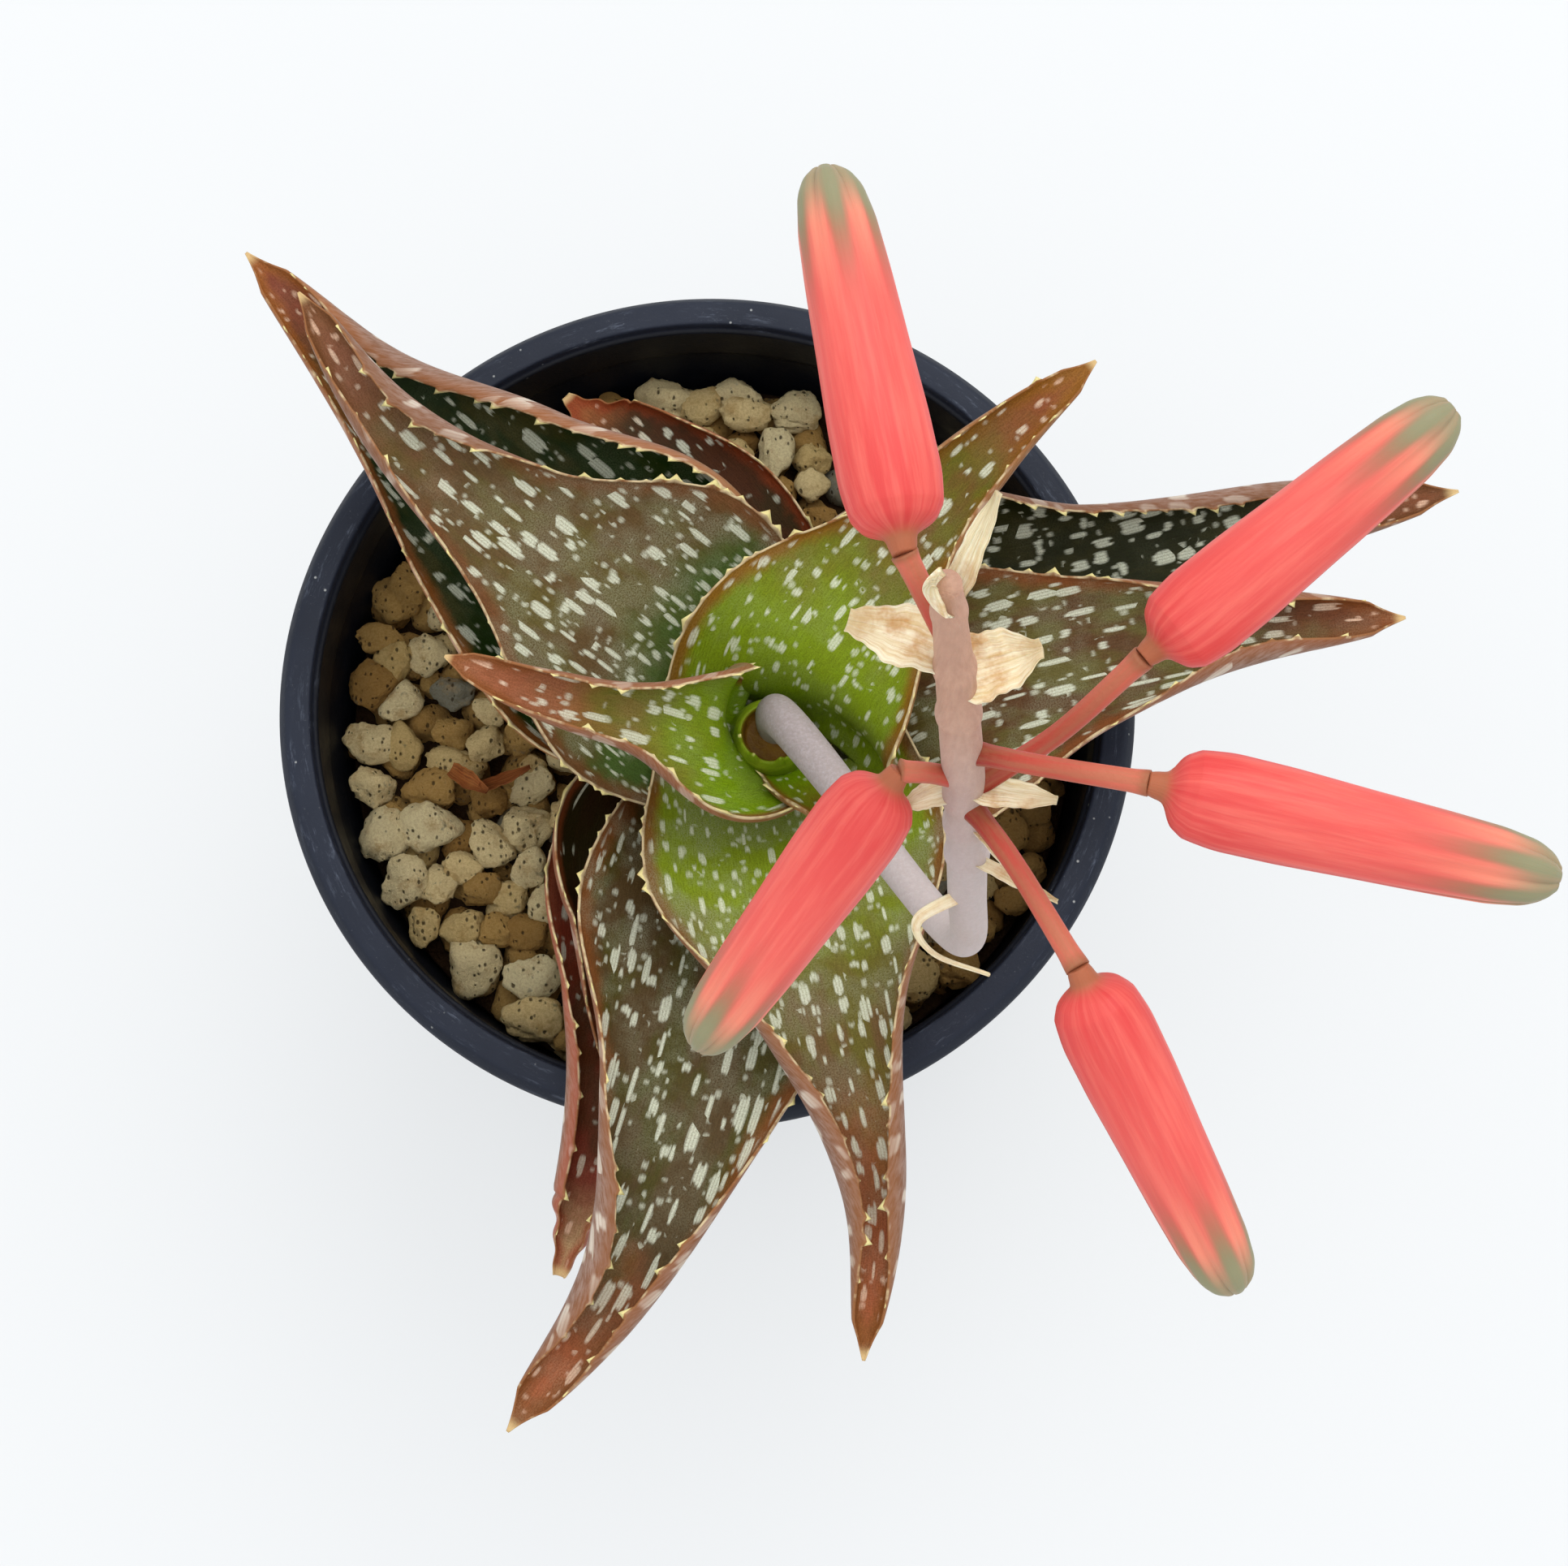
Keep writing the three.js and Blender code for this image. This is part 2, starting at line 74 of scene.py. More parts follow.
# Substrate
SOIL_TOP = 65.5
BED_DEPTH = 1.3
BED_RADIUS = 40.2
GRAIN_SHAPES = 10
GRAIN_FACETS = 10
GRAIN_EDGE_SHARPNESS = 14
GRAIN_ROUNDING = 1.12
GRAIN_TRIES = 5000
FILLING_GRAIN = 2.9
FILLING_RANGE = 1.5
BED_UNEVENNESS = 0.5
TONES = {"cream": 0.0, "tan": 0.3, "brown": 0.6, "grey": 0.9}

# The grains that show beside the leaves: middle, length, width, the way the length points in
# degrees, and tone
SHOWN_GRAINS = [
    (-38, 18, 5.2, 4.4, 90, "brown"), (-33, 17.5, 6.4, 5.4, 90, "brown"), (-36.5, 12, 5.2, 3.2, 0, "brown"),
    (-34.5, 9, 5, 4, 60, "tan"), (-30.5, 9.5, 5, 4.6, 0, "cream"), (-39, 7, 6, 5.6, 0, "brown"),
    (-28, 5, 4.6, 4, 0, "grey"), (-33.5, 4, 4.8, 3.6, 45, "cream"), (-38.5, 0, 6.2, 4.6, -20, "cream"),
    (-33.5, -0.5, 5.6, 4, 90, "tan"), (-28, 0.5, 4.6, 4, 20, "brown"), (-24, 2.5, 3.6, 3, 0, "cream"),
    (-24.5, -1, 5, 4, 60, "cream"), (-28, -3, 6.8, 3.7, -20, "tan"), (-37, -5, 5, 4.6, 0, "cream"),
    (-31, -5.5, 6.2, 4, 0, "brown"), (-35, -8, 2.8, 2.5, 0, "brown"), (-38, -11, 6, 5.5, 90, "cream"),
    (-31, -10, 7.2, 5.4, -15, "cream"), (-24.5, -12, 5.5, 4.2, -60, "cream"),
    (-21, -10.5, 6.5, 5.4, 30, "cream"),
    (-20, -6, 5.6, 3.2, 25, "cream"), (-19.5, -3.5, 2.8, 2.5, 0, "tan"), (-34.5, -16, 6, 4.8, 60, "cream"),
    (-30, -16, 5, 4.5, 100, "cream"), (-27.5, -14.5, 4.5, 3.5, -10, "cream"),
    (-20.5, -15, 4.6, 3.5, 80, "cream"),
    (-32.5, -21, 4.2, 3.2, 80, "tan"), (-28, -21, 4.6, 3.6, 0, "tan"), (-26.5, -25.5, 6.2, 5.5, 90, "cream"),
    (-24, -21.5, 4, 3.5, 0, "brown"), (-21, -22, 4.6, 4, 0, "brown"), (-20.5, -27, 6.2, 4.8, 0, "cream"),
    (-21, -31.5, 6.4, 4.6, -10, "cream"), (-25.5, -17, 4, 3.4, 0, "brown"), (-22.8, -18, 4, 3.6, 0, "tan"),
    (-18.8, -19, 4.6, 3.6, 80, "cream"), (-3, 40, 6.8, 5.4, -10, "cream"), (5, 39, 6.6, 4.2, -15, "cream"),
    (6, 35, 6, 4, 0, "cream"), (11.5, 35, 5.6, 4.2, 0, "cream"), (-9.5, 39.2, 4.6, 3.4, -10, "brown"),
    (1.2, 36.4, 5.4, 4.4, 30, "tan"), (9, 30, 6, 4, 80, "cream"), (13, 29.5, 4.5, 4, 0, "tan"),
    (13, 26, 4, 3.6, 0, "cream"), (27.5, 30, 5, 4, 0, "cream"), (-33.5, 24, 4.8, 3.2, 90, "tan"),
    (24.5, -16.5, 6.6, 5, 60, "cream"), (20, -29.5, 5.8, 5, 60, "tan"), (24.5, -28.5, 5, 4.6, 0, "brown"),
    (34.5, -11.5, 5, 3.6, 80, "brown"), (31.5, -22, 4, 3.4, 0, "brown"),
]

# Dry reddish shreds of an old leaf that lie on the grains
SHREDS = [
    dict(start=(-28, -4.4, 70.4), end=(-24.2, -7, 70), width=1, thickness=1),
    dict(start=(-25, -6.6, 69.8), end=(-19.6, -4.4, 69), width=0.7, thickness=0.8),
]

# Rosette
ROSETTE = (7, -6)
STEM_FOOT = 58.5
STEM_TOP = 79.5
STEM_RADIUS = 5.6
LEAF_THICKNESS = 2.4
MARGIN_THICKNESS = 0.7
CUP_EVENNESS = 0.45
LEAF_STEP = 0.24
LEAF_HALF_STRIPS = 12
ROLL_STRIPS = 6
ROLL_TURN = 115
ROLL_FOR_FULL_TURN = 2
LIP_THICKNESS = 0.26
TIP_SHARE = 0.06
TOOTH_SPACING = 3.4
TOOTH_HALF_WIDTH = 0.85
TOOTH_HEIGHT = 1.2
STREAK = 0.32

# How much of a leaf's left and right margins rolls in, in millimetres at the same five stations
LEAF_ROLLS = {
    "leaf_01": dict(left=[0.3, 0.4, 1.1, 1.3, 0.2], right=[0.3, 0.5, 1.1, 1.3, 0.2]),
    "leaf_02": dict(left=[0.3, 0.3, 1.2, 1.5, 0.2], right=[0.3, 0.3, 1.2, 1.5, 0.2]),
    "leaf_03": dict(left=[0.3, 0.3, 1.2, 1.5, 0.2], right=[0.3, 0.3, 1.6, 1.6, 0.2]),
    "leaf_04": dict(left=[0.3, 0.3, 0.4, 1.4, 0.2], right=[0.3, 0.3, 0.8, 2, 0.2]),
    "leaf_05": dict(left=[0.3, 0.3, 0.3, 0.8, 0.2], right=[0.5, 1.4, 1.7, 2.1, 0.2]),
    "leaf_06": dict(left=[0.3, 0.3, 0.4, 0.4, 0.3], right=[0.3, 0.6, 1.2, 1.5, 0.8]),
    "leaf_07": dict(left=[0.4, 1, 1.4, 1.9, 0.2], right=[0.3, 0.3, 0.6, 1.6, 0.2]),
    "leaf_08": dict(left=[0.3, 0.3, 0.5, 1.6, 0.2], right=[0.3, 0.3, 0.4, 1.4, 0.2]),
    "leaf_09": dict(left=[0.3, 0.3, 0.4, 2, 0.2], right=[0.3, 0.3, 1.1, 2.8, 0.2]),
    "leaf_10": dict(left=[0.3, 0.3, 0.3, 0.3, 0.3], right=[0.3, 0.4, 0.5, 0.5, 0.3]),
    "leaf_11": dict(left=[0.3, 0.3, 0.8, 1.4, 0.6], right=[0.3, 0.4, 0.9, 1.4, 0.6]),
    "leaf_12": dict(left=[0.2, 0.2, 0.2, 0.2, 0.1], right=[0.2, 0.2, 0.2, 0.2, 0.1]),
}
BLUNT_LEAVES = ("leaf_06", "leaf_11")
HEART = (6.5, -6.5)
HEART_TEETH = (3.3, 4.1, 5)

# Every leaf is set out at five stations from its base to its tip: the midrib's points, half the
# width of the flattened blade, and how many degrees the left and right halves curl up.
LEAVES = {
    "leaf_12": dict(
        spine=[(8.5, -9, 81), (9.5, -11.5, 87), (11.5, -14.5, 91), (13.5, -17.5, 94), (15.5, -21, 96)],
        half=[3.2, 3.5, 2.8, 1.6, 0.4], left=[50, 50, 40, 30, 10], right=[50, 50, 40, 30, 10],
    ),
    "leaf_01": dict(
        spine=[(4.5, -7.5, 80.5), (1.5, -8.5, 90), (-6, -7, 96), (-15, -5, 101), (-23.5, -1.5, 104)],
        half=[8, 8.5, 3.5, 1.8, 0.4], left=[85, 60, 55, 30, 10], right=[85, 75, 70, 50, 10],
    ),
    "leaf_02": dict(
        spine=[(9, -3.5, 79), (11, -0.5, 88), (19.5, 8, 94), (29.5, 17, 98), (40.5, 24.5, 102)],
        half=[14, 12, 5, 2.4, 0.4], left=[60, 40, 30, 30, 20], right=[60, 45, 35, 35, 20],
    ),
    "leaf_03": dict(
        spine=[(7.5, -9, 78), (8.5, -21.5, 86), (11, -37.5, 91), (13.5, -53.5, 91), (11.5, -68.5, 88)],
        half=[14, 15, 7, 3, 0.4], left=[60, 35, 60, 90, 30], right=[60, 40, 60, 90, 30],
    ),
    "leaf_04": dict(
        spine=[(4, -3, 76), (-5.5, 5, 85), (-18, 14.5, 92), (-29.5, 25.5, 96), (-37.5, 38.5, 99)],
        half=[13, 16.5, 7.2, 3.2, 0.4], left=[60, 35, 35, 60, 30], right=[60, 35, 45, 80, 30],
    ),
    "leaf_09": dict(
        spine=[(4.5, -10.5, 74), (1, -26, 83), (-4, -43.5, 87.5), (-12, -60.5, 87), (-23, -73, 83)],
        half=[12, 15.7, 9, 3.7, 0.4], left=[60, 35, 40, 50, 10], right=[60, 50, 60, 80, 10],
    ),
    "leaf_08": dict(
        spine=[(11.5, -8, 75), (23.5, -4, 83), (39, -1.5, 88), (55.5, -0.5, 91), (70.5, 0, 90)],
        half=[11, 14, 8, 4, 0.4], left=[60, 40, 45, 85, 30], right=[60, 35, 40, 85, 30],
    ),
    "leaf_05": dict(
        spine=[(3, -2, 72), (-8, 8.5, 80), (-20.5, 20.5, 85), (-32.5, 32.5, 89), (-44, 46, 93)],
        half=[11, 17.8, 12.2, 4.6, 0.4], left=[60, 50, 50, 60, 30], right=[60, 60, 80, 90, 30],
    ),
    "leaf_10": dict(
        spine=[(1.5, -9.5, 72), (-7, -14.5, 77), (-7.5, -24.5, 80), (-8, -35.5, 81.5), (-9.5, -46, 81)],
        half=[8, 9.5, 8, 5, 0.5], left=[40, 30, 20, 20, 10], right=[40, 55, 75, 50, 10],
    ),
    "leaf_07": dict(
        spine=[(11, -2, 72.5), (21, 7, 78), (41, 9, 83), (59.5, 11.5, 87), (78, 13.5, 88)],
        half=[10, 12.4, 6.7, 4, 0.4], left=[60, 60, 75, 80, 30], right=[60, 35, 40, 50, 30],
    ),
    "leaf_11": dict(
        spine=[(1, -8.5, 70.5), (-7, -18, 74.5), (-9.5, -31.5, 78.5), (-13, -45.5, 81), (-18, -58.5, 77)],
        half=[7.5, 10.5, 7, 3.7, 1.8], left=[40, 30, 50, 90, 60], right=[40, 50, 70, 90, 60],
    ),
    "leaf_06": dict(
        spine=[(6.5, -0.5, 71.5), (5.5, 9.5, 73), (0.5, 19, 74.5), (-6.5, 27.5, 75), (-13.5, 35.5, 74.5)],
        half=[7, 9, 9, 5.6, 1], left=[20, 20, 20, 20, 10], right=[20, 25, 30, 30, 10],
    ),
}

# How each leaf is coloured: base, blade, the olive patches on it, tip and border; where the base
# colour ends and the tip colour starts along the leaf; the spots' spacing across and along and
# half their width and length in millimetres; what share of them there is at the base and beyond;
# how strong the grey bloom is, partly real waxy bloom and partly painted sheen, and how wide the border
LEAF_LOOKS = {
    "leaf_01": dict(
        base=(118, 150, 16), blade=(124, 104, 44), olive=(112, 112, 36), tip=(148, 88, 58),
        border=(136, 80, 42), ends=(0.42, 0.64), spots=(2.5, 4, 0.55, 1.2), crowd=(0.7, 0.9),
        bloom=0.1, band=0.5,
    ),
    "leaf_02": dict(
        base=(124, 148, 22), blade=(110, 80, 36), olive=(104, 100, 26), tip=(138, 76, 44),
        border=(142, 92, 30), ends=(0.4, 0.74), spots=(2.1, 2.9, 0.5, 0.9), crowd=(0.85, 0.8),
        bloom=0.1, band=0.9,
    ),
    "leaf_03": dict(
        base=(128, 148, 32), blade=(110, 84, 50), olive=(106, 98, 38), tip=(158, 88, 54),
        border=(132, 80, 38), ends=(0.36, 0.64), spots=(1.8, 2.7, 0.42, 1), crowd=(0.9, 0.85),
        bloom=0.35, band=0.8,
    ),
    "leaf_04": dict(
        base=(74, 98, 44), blade=(96, 74, 44), olive=(96, 84, 40), tip=(134, 86, 62),
        border=(116, 74, 44), ends=(0.24, 0.7), spots=(1.7, 2.9, 0.5, 1.25), crowd=(1.0, 0.6),
        bloom=0.3, band=1.0,
    ),
    "leaf_05": dict(
        base=(30, 56, 12), blade=(30, 46, 12), olive=(60, 58, 20), tip=(128, 66, 46),
        border=(148, 88, 40), ends=(0.4, 0.8), spots=(2.3, 3.8, 0.6, 1.4), crowd=(0.75, 0.75),
        bloom=0.1, band=0.7,
    ),
    "leaf_06": dict(
        base=(58, 38, 16), blade=(74, 40, 18), olive=(60, 44, 20), tip=(160, 92, 50),
        border=(140, 62, 30), ends=(0.3, 0.88), spots=(2.1, 3.2, 0.45, 0.9), crowd=(0.6, 0.4),
        bloom=0.0, band=0.7,
    ),
    "leaf_07": dict(
        base=(30, 46, 10), blade=(34, 36, 12), olive=(48, 46, 16), tip=(140, 78, 50),
        border=(108, 66, 38), ends=(0.3, 0.86), spots=(2, 2.7, 0.6, 0.95), crowd=(0.85, 0.8),
        bloom=0.05, band=0.7,
    ),
    "leaf_08": dict(
        base=(92, 88, 42), blade=(90, 60, 34), olive=(98, 90, 44), tip=(112, 62, 36),
        border=(130, 74, 38), ends=(0.2, 0.8), spots=(2, 3.8, 0.42, 1.5), crowd=(0.8, 0.8),
        bloom=0.25, band=0.8,
    ),
    "leaf_09": dict(
        base=(84, 62, 26), blade=(84, 66, 40), olive=(76, 70, 26), tip=(166, 92, 58),
        border=(128, 76, 38), ends=(0.2, 0.78), spots=(1.95, 4, 0.48, 1.5), crowd=(0.85, 0.85),
        bloom=0.3, band=1.0,
    ),
    "leaf_10": dict(
        base=(44, 24, 8), blade=(42, 24, 8), olive=(40, 32, 10), tip=(112, 54, 30),
        border=(124, 64, 34), ends=(0.2, 0.8), spots=(2.1, 3.4, 0.45, 1.2), crowd=(0.4, 0.4),
        bloom=0.0, band=0.5,
    ),
    "leaf_11": dict(
        base=(58, 32, 14), blade=(128, 56, 38), olive=(96, 52, 28), tip=(222, 202, 150),
        border=(158, 76, 50), ends=(0.2, 0.9), spots=(2.2, 3.6, 0.45, 1.2), crowd=(0.6, 0.4),
        bloom=0.1, band=0.6,
    ),
    "leaf_12": dict(
        base=(120, 154, 10), blade=(120, 124, 22), olive=(118, 96, 26), tip=(140, 70, 30),
        border=(140, 96, 30), ends=(0.5, 0.85), spots=(1.8, 2.4, 0.32, 0.6), crowd=(0.7, 0.7),
        bloom=0.0, band=0.3,
    ),
}
STALK_KNOTS = [0.63, 0.68, 0.72, 0.84, 0.9, 0.97]

# The stalk leans out of the heart of the rosette, bends upright and bears the flowers
STALK_PATH = [
    (7.2, -5.4, 80), (7.5, -5.9, 90), (12.5, -14.6, 97), (17, -23.8, 104), (20.7, -30.9, 111),
    (22.3, -33.4, 118), (21.9, -31.4, 128), (21.2, -27.8, 143), (20, -23.8, 160), (18.6, -20.1, 177),
]
STALK_RADII = [2.1, 2.1, 1.9, 1.7, 1.7, 1.75, 1.75, 1.7, 1.5, 1.1]
PEDICEL_RADIUS = 0.85

# Each pedicel runs from the stalk to the base of its flower, and the flower on to its tip
BLOOMS = [
    dict(pedicel=[(19.4, -21.9, 168), (18.2, -20, 170), (16.4, -16.3, 172)], tip=(13, 11.2, 172)),
    dict(pedicel=[(21, -27.1, 147), (27.5, -24.4, 152), (33.5, -20.6, 158)], tip=(55.6, -5.8, 164)),
    dict(pedicel=[(20.6, -25.3, 153), (25.5, -27.4, 156), (33, -29.7, 158)], tip=(61, -38, 156)),
    dict(pedicel=[(21.1, -27.5, 146), (24, -33, 148.5), (27.8, -41.2, 150)], tip=(38.9, -64.3, 137)),
    dict(pedicel=[(20.8, -26.6, 149), (18.4, -26.4, 151), (16, -26.2, 151.5)], tip=(-0.3, -43.7, 138.5)),
]
FLOWER_PROFILE = [
    (-0.055, 0.8), (-0.03, 1.0), (-0.012, 1.05), (0, 1.3), (0.02, 2.5), (0.06, 3.2), (0.14, 3.5),
    (0.3, 3.45), (0.5, 3.2), (0.7, 3), (0.84, 2.8), (0.93, 2.4), (0.98, 1.7), (1, 0.9),
]
FLOWER_RINGS = 100
FLOWER_SIDES = 72
SEGMENTS = 6
FLOWER_SEAT = 1.4

# Dry bracts and spent flowers that still hang on the stalk: ends, half width and half thickness
DRY_PIECES = [
    dict(start=(19.4, -21.8, 166), end=(12.6, -18.6, 165), width=2.2, thickness=0.8),
    dict(start=(19.6, -22.6, 163), end=(25.6, -21.4, 165), width=2.4, thickness=0.8),
    dict(start=(18.8, -20.6, 173), end=(22.3, -14.6, 178), width=0.9, thickness=0.5),
    dict(start=(18.7, -20.6, 175), end=(17.6, -21.4, 182), width=1.5, thickness=0.8),
    dict(start=(20.8, -26.6, 147), end=(16.4, -27.4, 145), width=1.1, thickness=0.5),
    dict(start=(20.9, -26.9, 148), end=(27.4, -28.8, 150), width=1.2, thickness=0.5),
    dict(start=(21.2, -28, 143), end=(27, -35, 141), width=0.8, thickness=0.5),
    dict(start=(21.7, -30.2, 137), end=(28.4, -33.8, 135), width=0.6, thickness=0.5),
]
DRY_THREAD = [(21.9, -31.6, 130), (17.7, -33.4, 128), (19, -35.6, 124), (23.6, -37.4, 122)]
DRY_THREAD_RADIUS = 0.5


def smooth_run(values, t):
    """A smooth run through evenly spaced values or points, read at t from 0 to 1."""
    values = np.asarray(values, float)
    values = values[:, None] if values.ndim == 1 else values
    last = len(values) - 1
    place = np.clip(np.asarray(t, float), 0, 1) * last
    index = np.minimum(place.astype(int), last - 1)
    f = (place - index)[:, None]
    ends = np.vstack([2 * values[0] - values[1], values, 2 * values[-1] - values[-2]])
    a, b, c, d = ends[index], ends[index + 1], ends[index + 2], ends[index + 3]
    quadratic = 2 * a - 5 * b + 4 * c - d
    cubic = 3 * b - a - 3 * c + d
    return 0.5 * (2 * b + (c - a) * f + quadratic * f ** 2 + cubic * f ** 3)


def unit(vectors):
    return vectors / np.linalg.norm(vectors, axis=-1, keepdims=True)


class Path:
    """A smooth curve through points, read by its length."""

    def __init__(self, points):
        self.dense = smooth_run(points, np.linspace(0, 1, 401))
        steps = np.linalg.norm(np.diff(self.dense, axis=0), axis=1)
        self.reach = np.concatenate([[0], np.cumsum(steps)])
        self.length = self.reach[-1]

    def at(self, t):
        wanted = np.clip(t, 0, 1) * self.length
        return np.stack([np.interp(wanted, self.reach, self.dense[:, k]) for k in range(3)], 1)

    def along(self, t):
        return unit(self.at(t + 0.01) - self.at(t - 0.01))


def mesh_piece(name, points, faces, material, attributes=None):
    """A smooth-shaded mesh object from points in millimetres."""
    mesh = bpy.data.meshes.new(name)
    mesh.from_pydata((np.asarray(points) * MM).tolist(), [], [tuple(map(int, f)) for f in faces])
    for key, values in (attributes or {}).items():
        layer = mesh.attributes.new(key, "FLOAT_VECTOR", "POINT")
        layer.data.foreach_set("vector", np.asarray(values, float).ravel())
    mesh.materials.append(material)
    mesh.shade_smooth()
    mesh.update()
    piece = bpy.data.objects.new(name, mesh)
    bpy.context.collection.objects.link(piece)
    return piece


def place(piece, slot, *nodes):
    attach(piece, "root")
    if nodes:
        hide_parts(*nodes)
    return piece


def ring_faces(rings, sides, cap=True):
    """Quads between rings of points, facing outwards for rings that turn left as they go on."""
    i, k = np.meshgrid(np.arange(rings - 1), np.arange(sides), indexing="ij")
    a = i * sides + k
    b = i * sides + (k + 1) % sides
    faces = np.stack([a, b, b + sides, a + sides], -1).reshape(-1, 4).tolist()
    if cap:
        last = (rings - 1) * sides
        faces.append(list(range(sides))[::-1])
        faces.append([last + k for k in range(sides)])
    return faces


def lathe_piece(name, profile, sides, material, middle=(0, 0), lift=None):
    """A solid of revolution whose profile starts and ends on its axis."""
    angles = np.arange(sides) / sides * 2 * math.pi
    rings = profile[1:-1]
    points = [(*middle, profile[0][1])]
    for radius, height in rings:
        heights = height + (lift(radius, angles) if lift else np.zeros(sides))
        points += list(zip(middle[0] + radius * np.cos(angles), middle[1] + radius * np.sin(angles), heights))
    points.append((*middle, profile[-1][1]))
    faces = [[1 + v for v in quad] for quad in ring_faces(len(rings), sides, cap=False)]
    last = 1 + (len(rings) - 1) * sides
    for k in range(sides):
        following = (k + 1) % sides
        faces.append([0, 1 + following, 1 + k])
        faces.append([len(points) - 1, last + k, last + following])
    return mesh_piece(name, points, faces, material)


def steady_frames(points):
    """Two directions square to a path at each of its points, which turn as little as they can."""
    ways = unit(np.gradient(points, axis=0))
    first = np.cross(ways[0], (0, 0, 1) if abs(ways[0][2]) < 0.9 else (1, 0, 0))
    sides = [first / np.linalg.norm(first)]
    for way in ways[1:]:
        turned = sides[-1] - way * np.dot(sides[-1], way)
        sides.append(turned / np.linalg.norm(turned))
    sides = np.array(sides)
    return sides, np.cross(ways, sides)


# Materials


def colour(red, green, blue):
    """A colour as a screen shows it, from 0 to 255, in the renderer's linear values."""
    return tuple(
        (c / 255 / 12.92) if c / 255 <= 0.04045 else ((c / 255 + 0.055) / 1.055) ** 2.4
        for c in (red, green, blue)
    ) + (1,)


class Finish:
    """A material and short ways to add its nodes."""

    def __init__(self, name, roughness=0.5, specular=0.5):
        self.material = bpy.data.materials.new(name)
        self.material.use_nodes = True
        self.tree = self.material.node_tree
        self.skin = self.tree.nodes["Principled BSDF"]
        self.skin.inputs["Roughness"].default_value = roughness
        self.skin.inputs["Specular IOR Level"].default_value = specular

    def node(self, kind, inputs=(), **settings):
        node = self.tree.nodes.new(kind)
        for key, value in settings.items():
            setattr(node, key, value)
        for key, value in dict(inputs).items():
            self.feed(node.inputs[key], value)
        return node

    def feed(self, socket, value):
        if isinstance(value, bpy.types.NodeSocket):
            self.tree.links.new(value, socket)
        else:
            socket.default_value = value

    def maths(self, operation, a, b=0.0, c=0.0):
        node = self.node("ShaderNodeMath", {0: a, 1: b, 2: c}, operation=operation)
        return node.outputs[0]

    def times(self, first, *others):
        product = first
        for value in others:
            product = self.maths("MULTIPLY", product, value)
        return product

    def step(self, value, low, high, to_low=0.0, to_high=1.0):
        """Value carried smoothly from low..high to to_low..to_high, and held outside."""
        node = self.node("ShaderNodeMapRange", {
            "Value": value, "From Min": low, "From Max": high, "To Min": to_low, "To Max": to_high,
        }, interpolation_type="SMOOTHSTEP")
        return node.outputs["Result"]

    def mix(self, share, a, b, blend="MIX"):
        node = self.node("ShaderNodeMix", data_type="RGBA", blend_type=blend, clamp_factor=True)
        self.feed(node.inputs[0], share)
        self.feed(node.inputs[6], a)
        self.feed(node.inputs[7], b)
        return node.outputs[2]

    def shaded(self, skin, share, tint):
        """The skin's colour, darkened by a tint where the share is high."""
        return self.mix(share, skin, (*tint, 1), "MULTIPLY")

    def noise(self, vector, scale, detail=3.0, roughness=0.55):
        node = self.node("ShaderNodeTexNoise", {
            "Vector": vector, "Scale": scale, "Detail": detail, "Roughness": roughness,
        })
        return node.outputs["Fac"]

    def cells(self, vector, scale, randomness=1.0, dimensions="3D"):
        return self.node("ShaderNodeTexVoronoi", {
            "Vector": vector, "Scale": scale, "Randomness": randomness,
        }, voronoi_dimensions=dimensions)

    def place(self):
        """Object coordinates in millimetres."""
        spot = self.node("ShaderNodeTexCoord").outputs["Object"]
        scaled = self.node("ShaderNodeVectorMath", {0: spot, 1: (1 / MM,) * 3}, operation="MULTIPLY")
        return scaled.outputs[0]

    def attribute(self, name):
        """The three values that the mesh stores at every point under this name."""
        return self.parts(self.node("ShaderNodeAttribute", attribute_name=name).outputs["Vector"])

    def parts(self, vector):
        node = self.node("ShaderNodeSeparateXYZ", {0: vector})
        return node.outputs[0], node.outputs[1], node.outputs[2]

    def join(self, x=0.0, y=0.0, z=0.0):
        return self.node("ShaderNodeCombineXYZ", {0: x, 1: y, 2: z}).outputs[0]

    def bump(self, height, distance, strength=1.0):
        node = self.node("ShaderNodeBump", {
            "Height": height, "Distance": distance * MM, "Strength": strength,
        })
        self.feed(self.skin.inputs["Normal"], node.outputs[0])

    def set(self, **sockets):
        for key, value in sockets.items():
            self.feed(self.skin.inputs[key.replace("_", " ")], value)
        return self.material


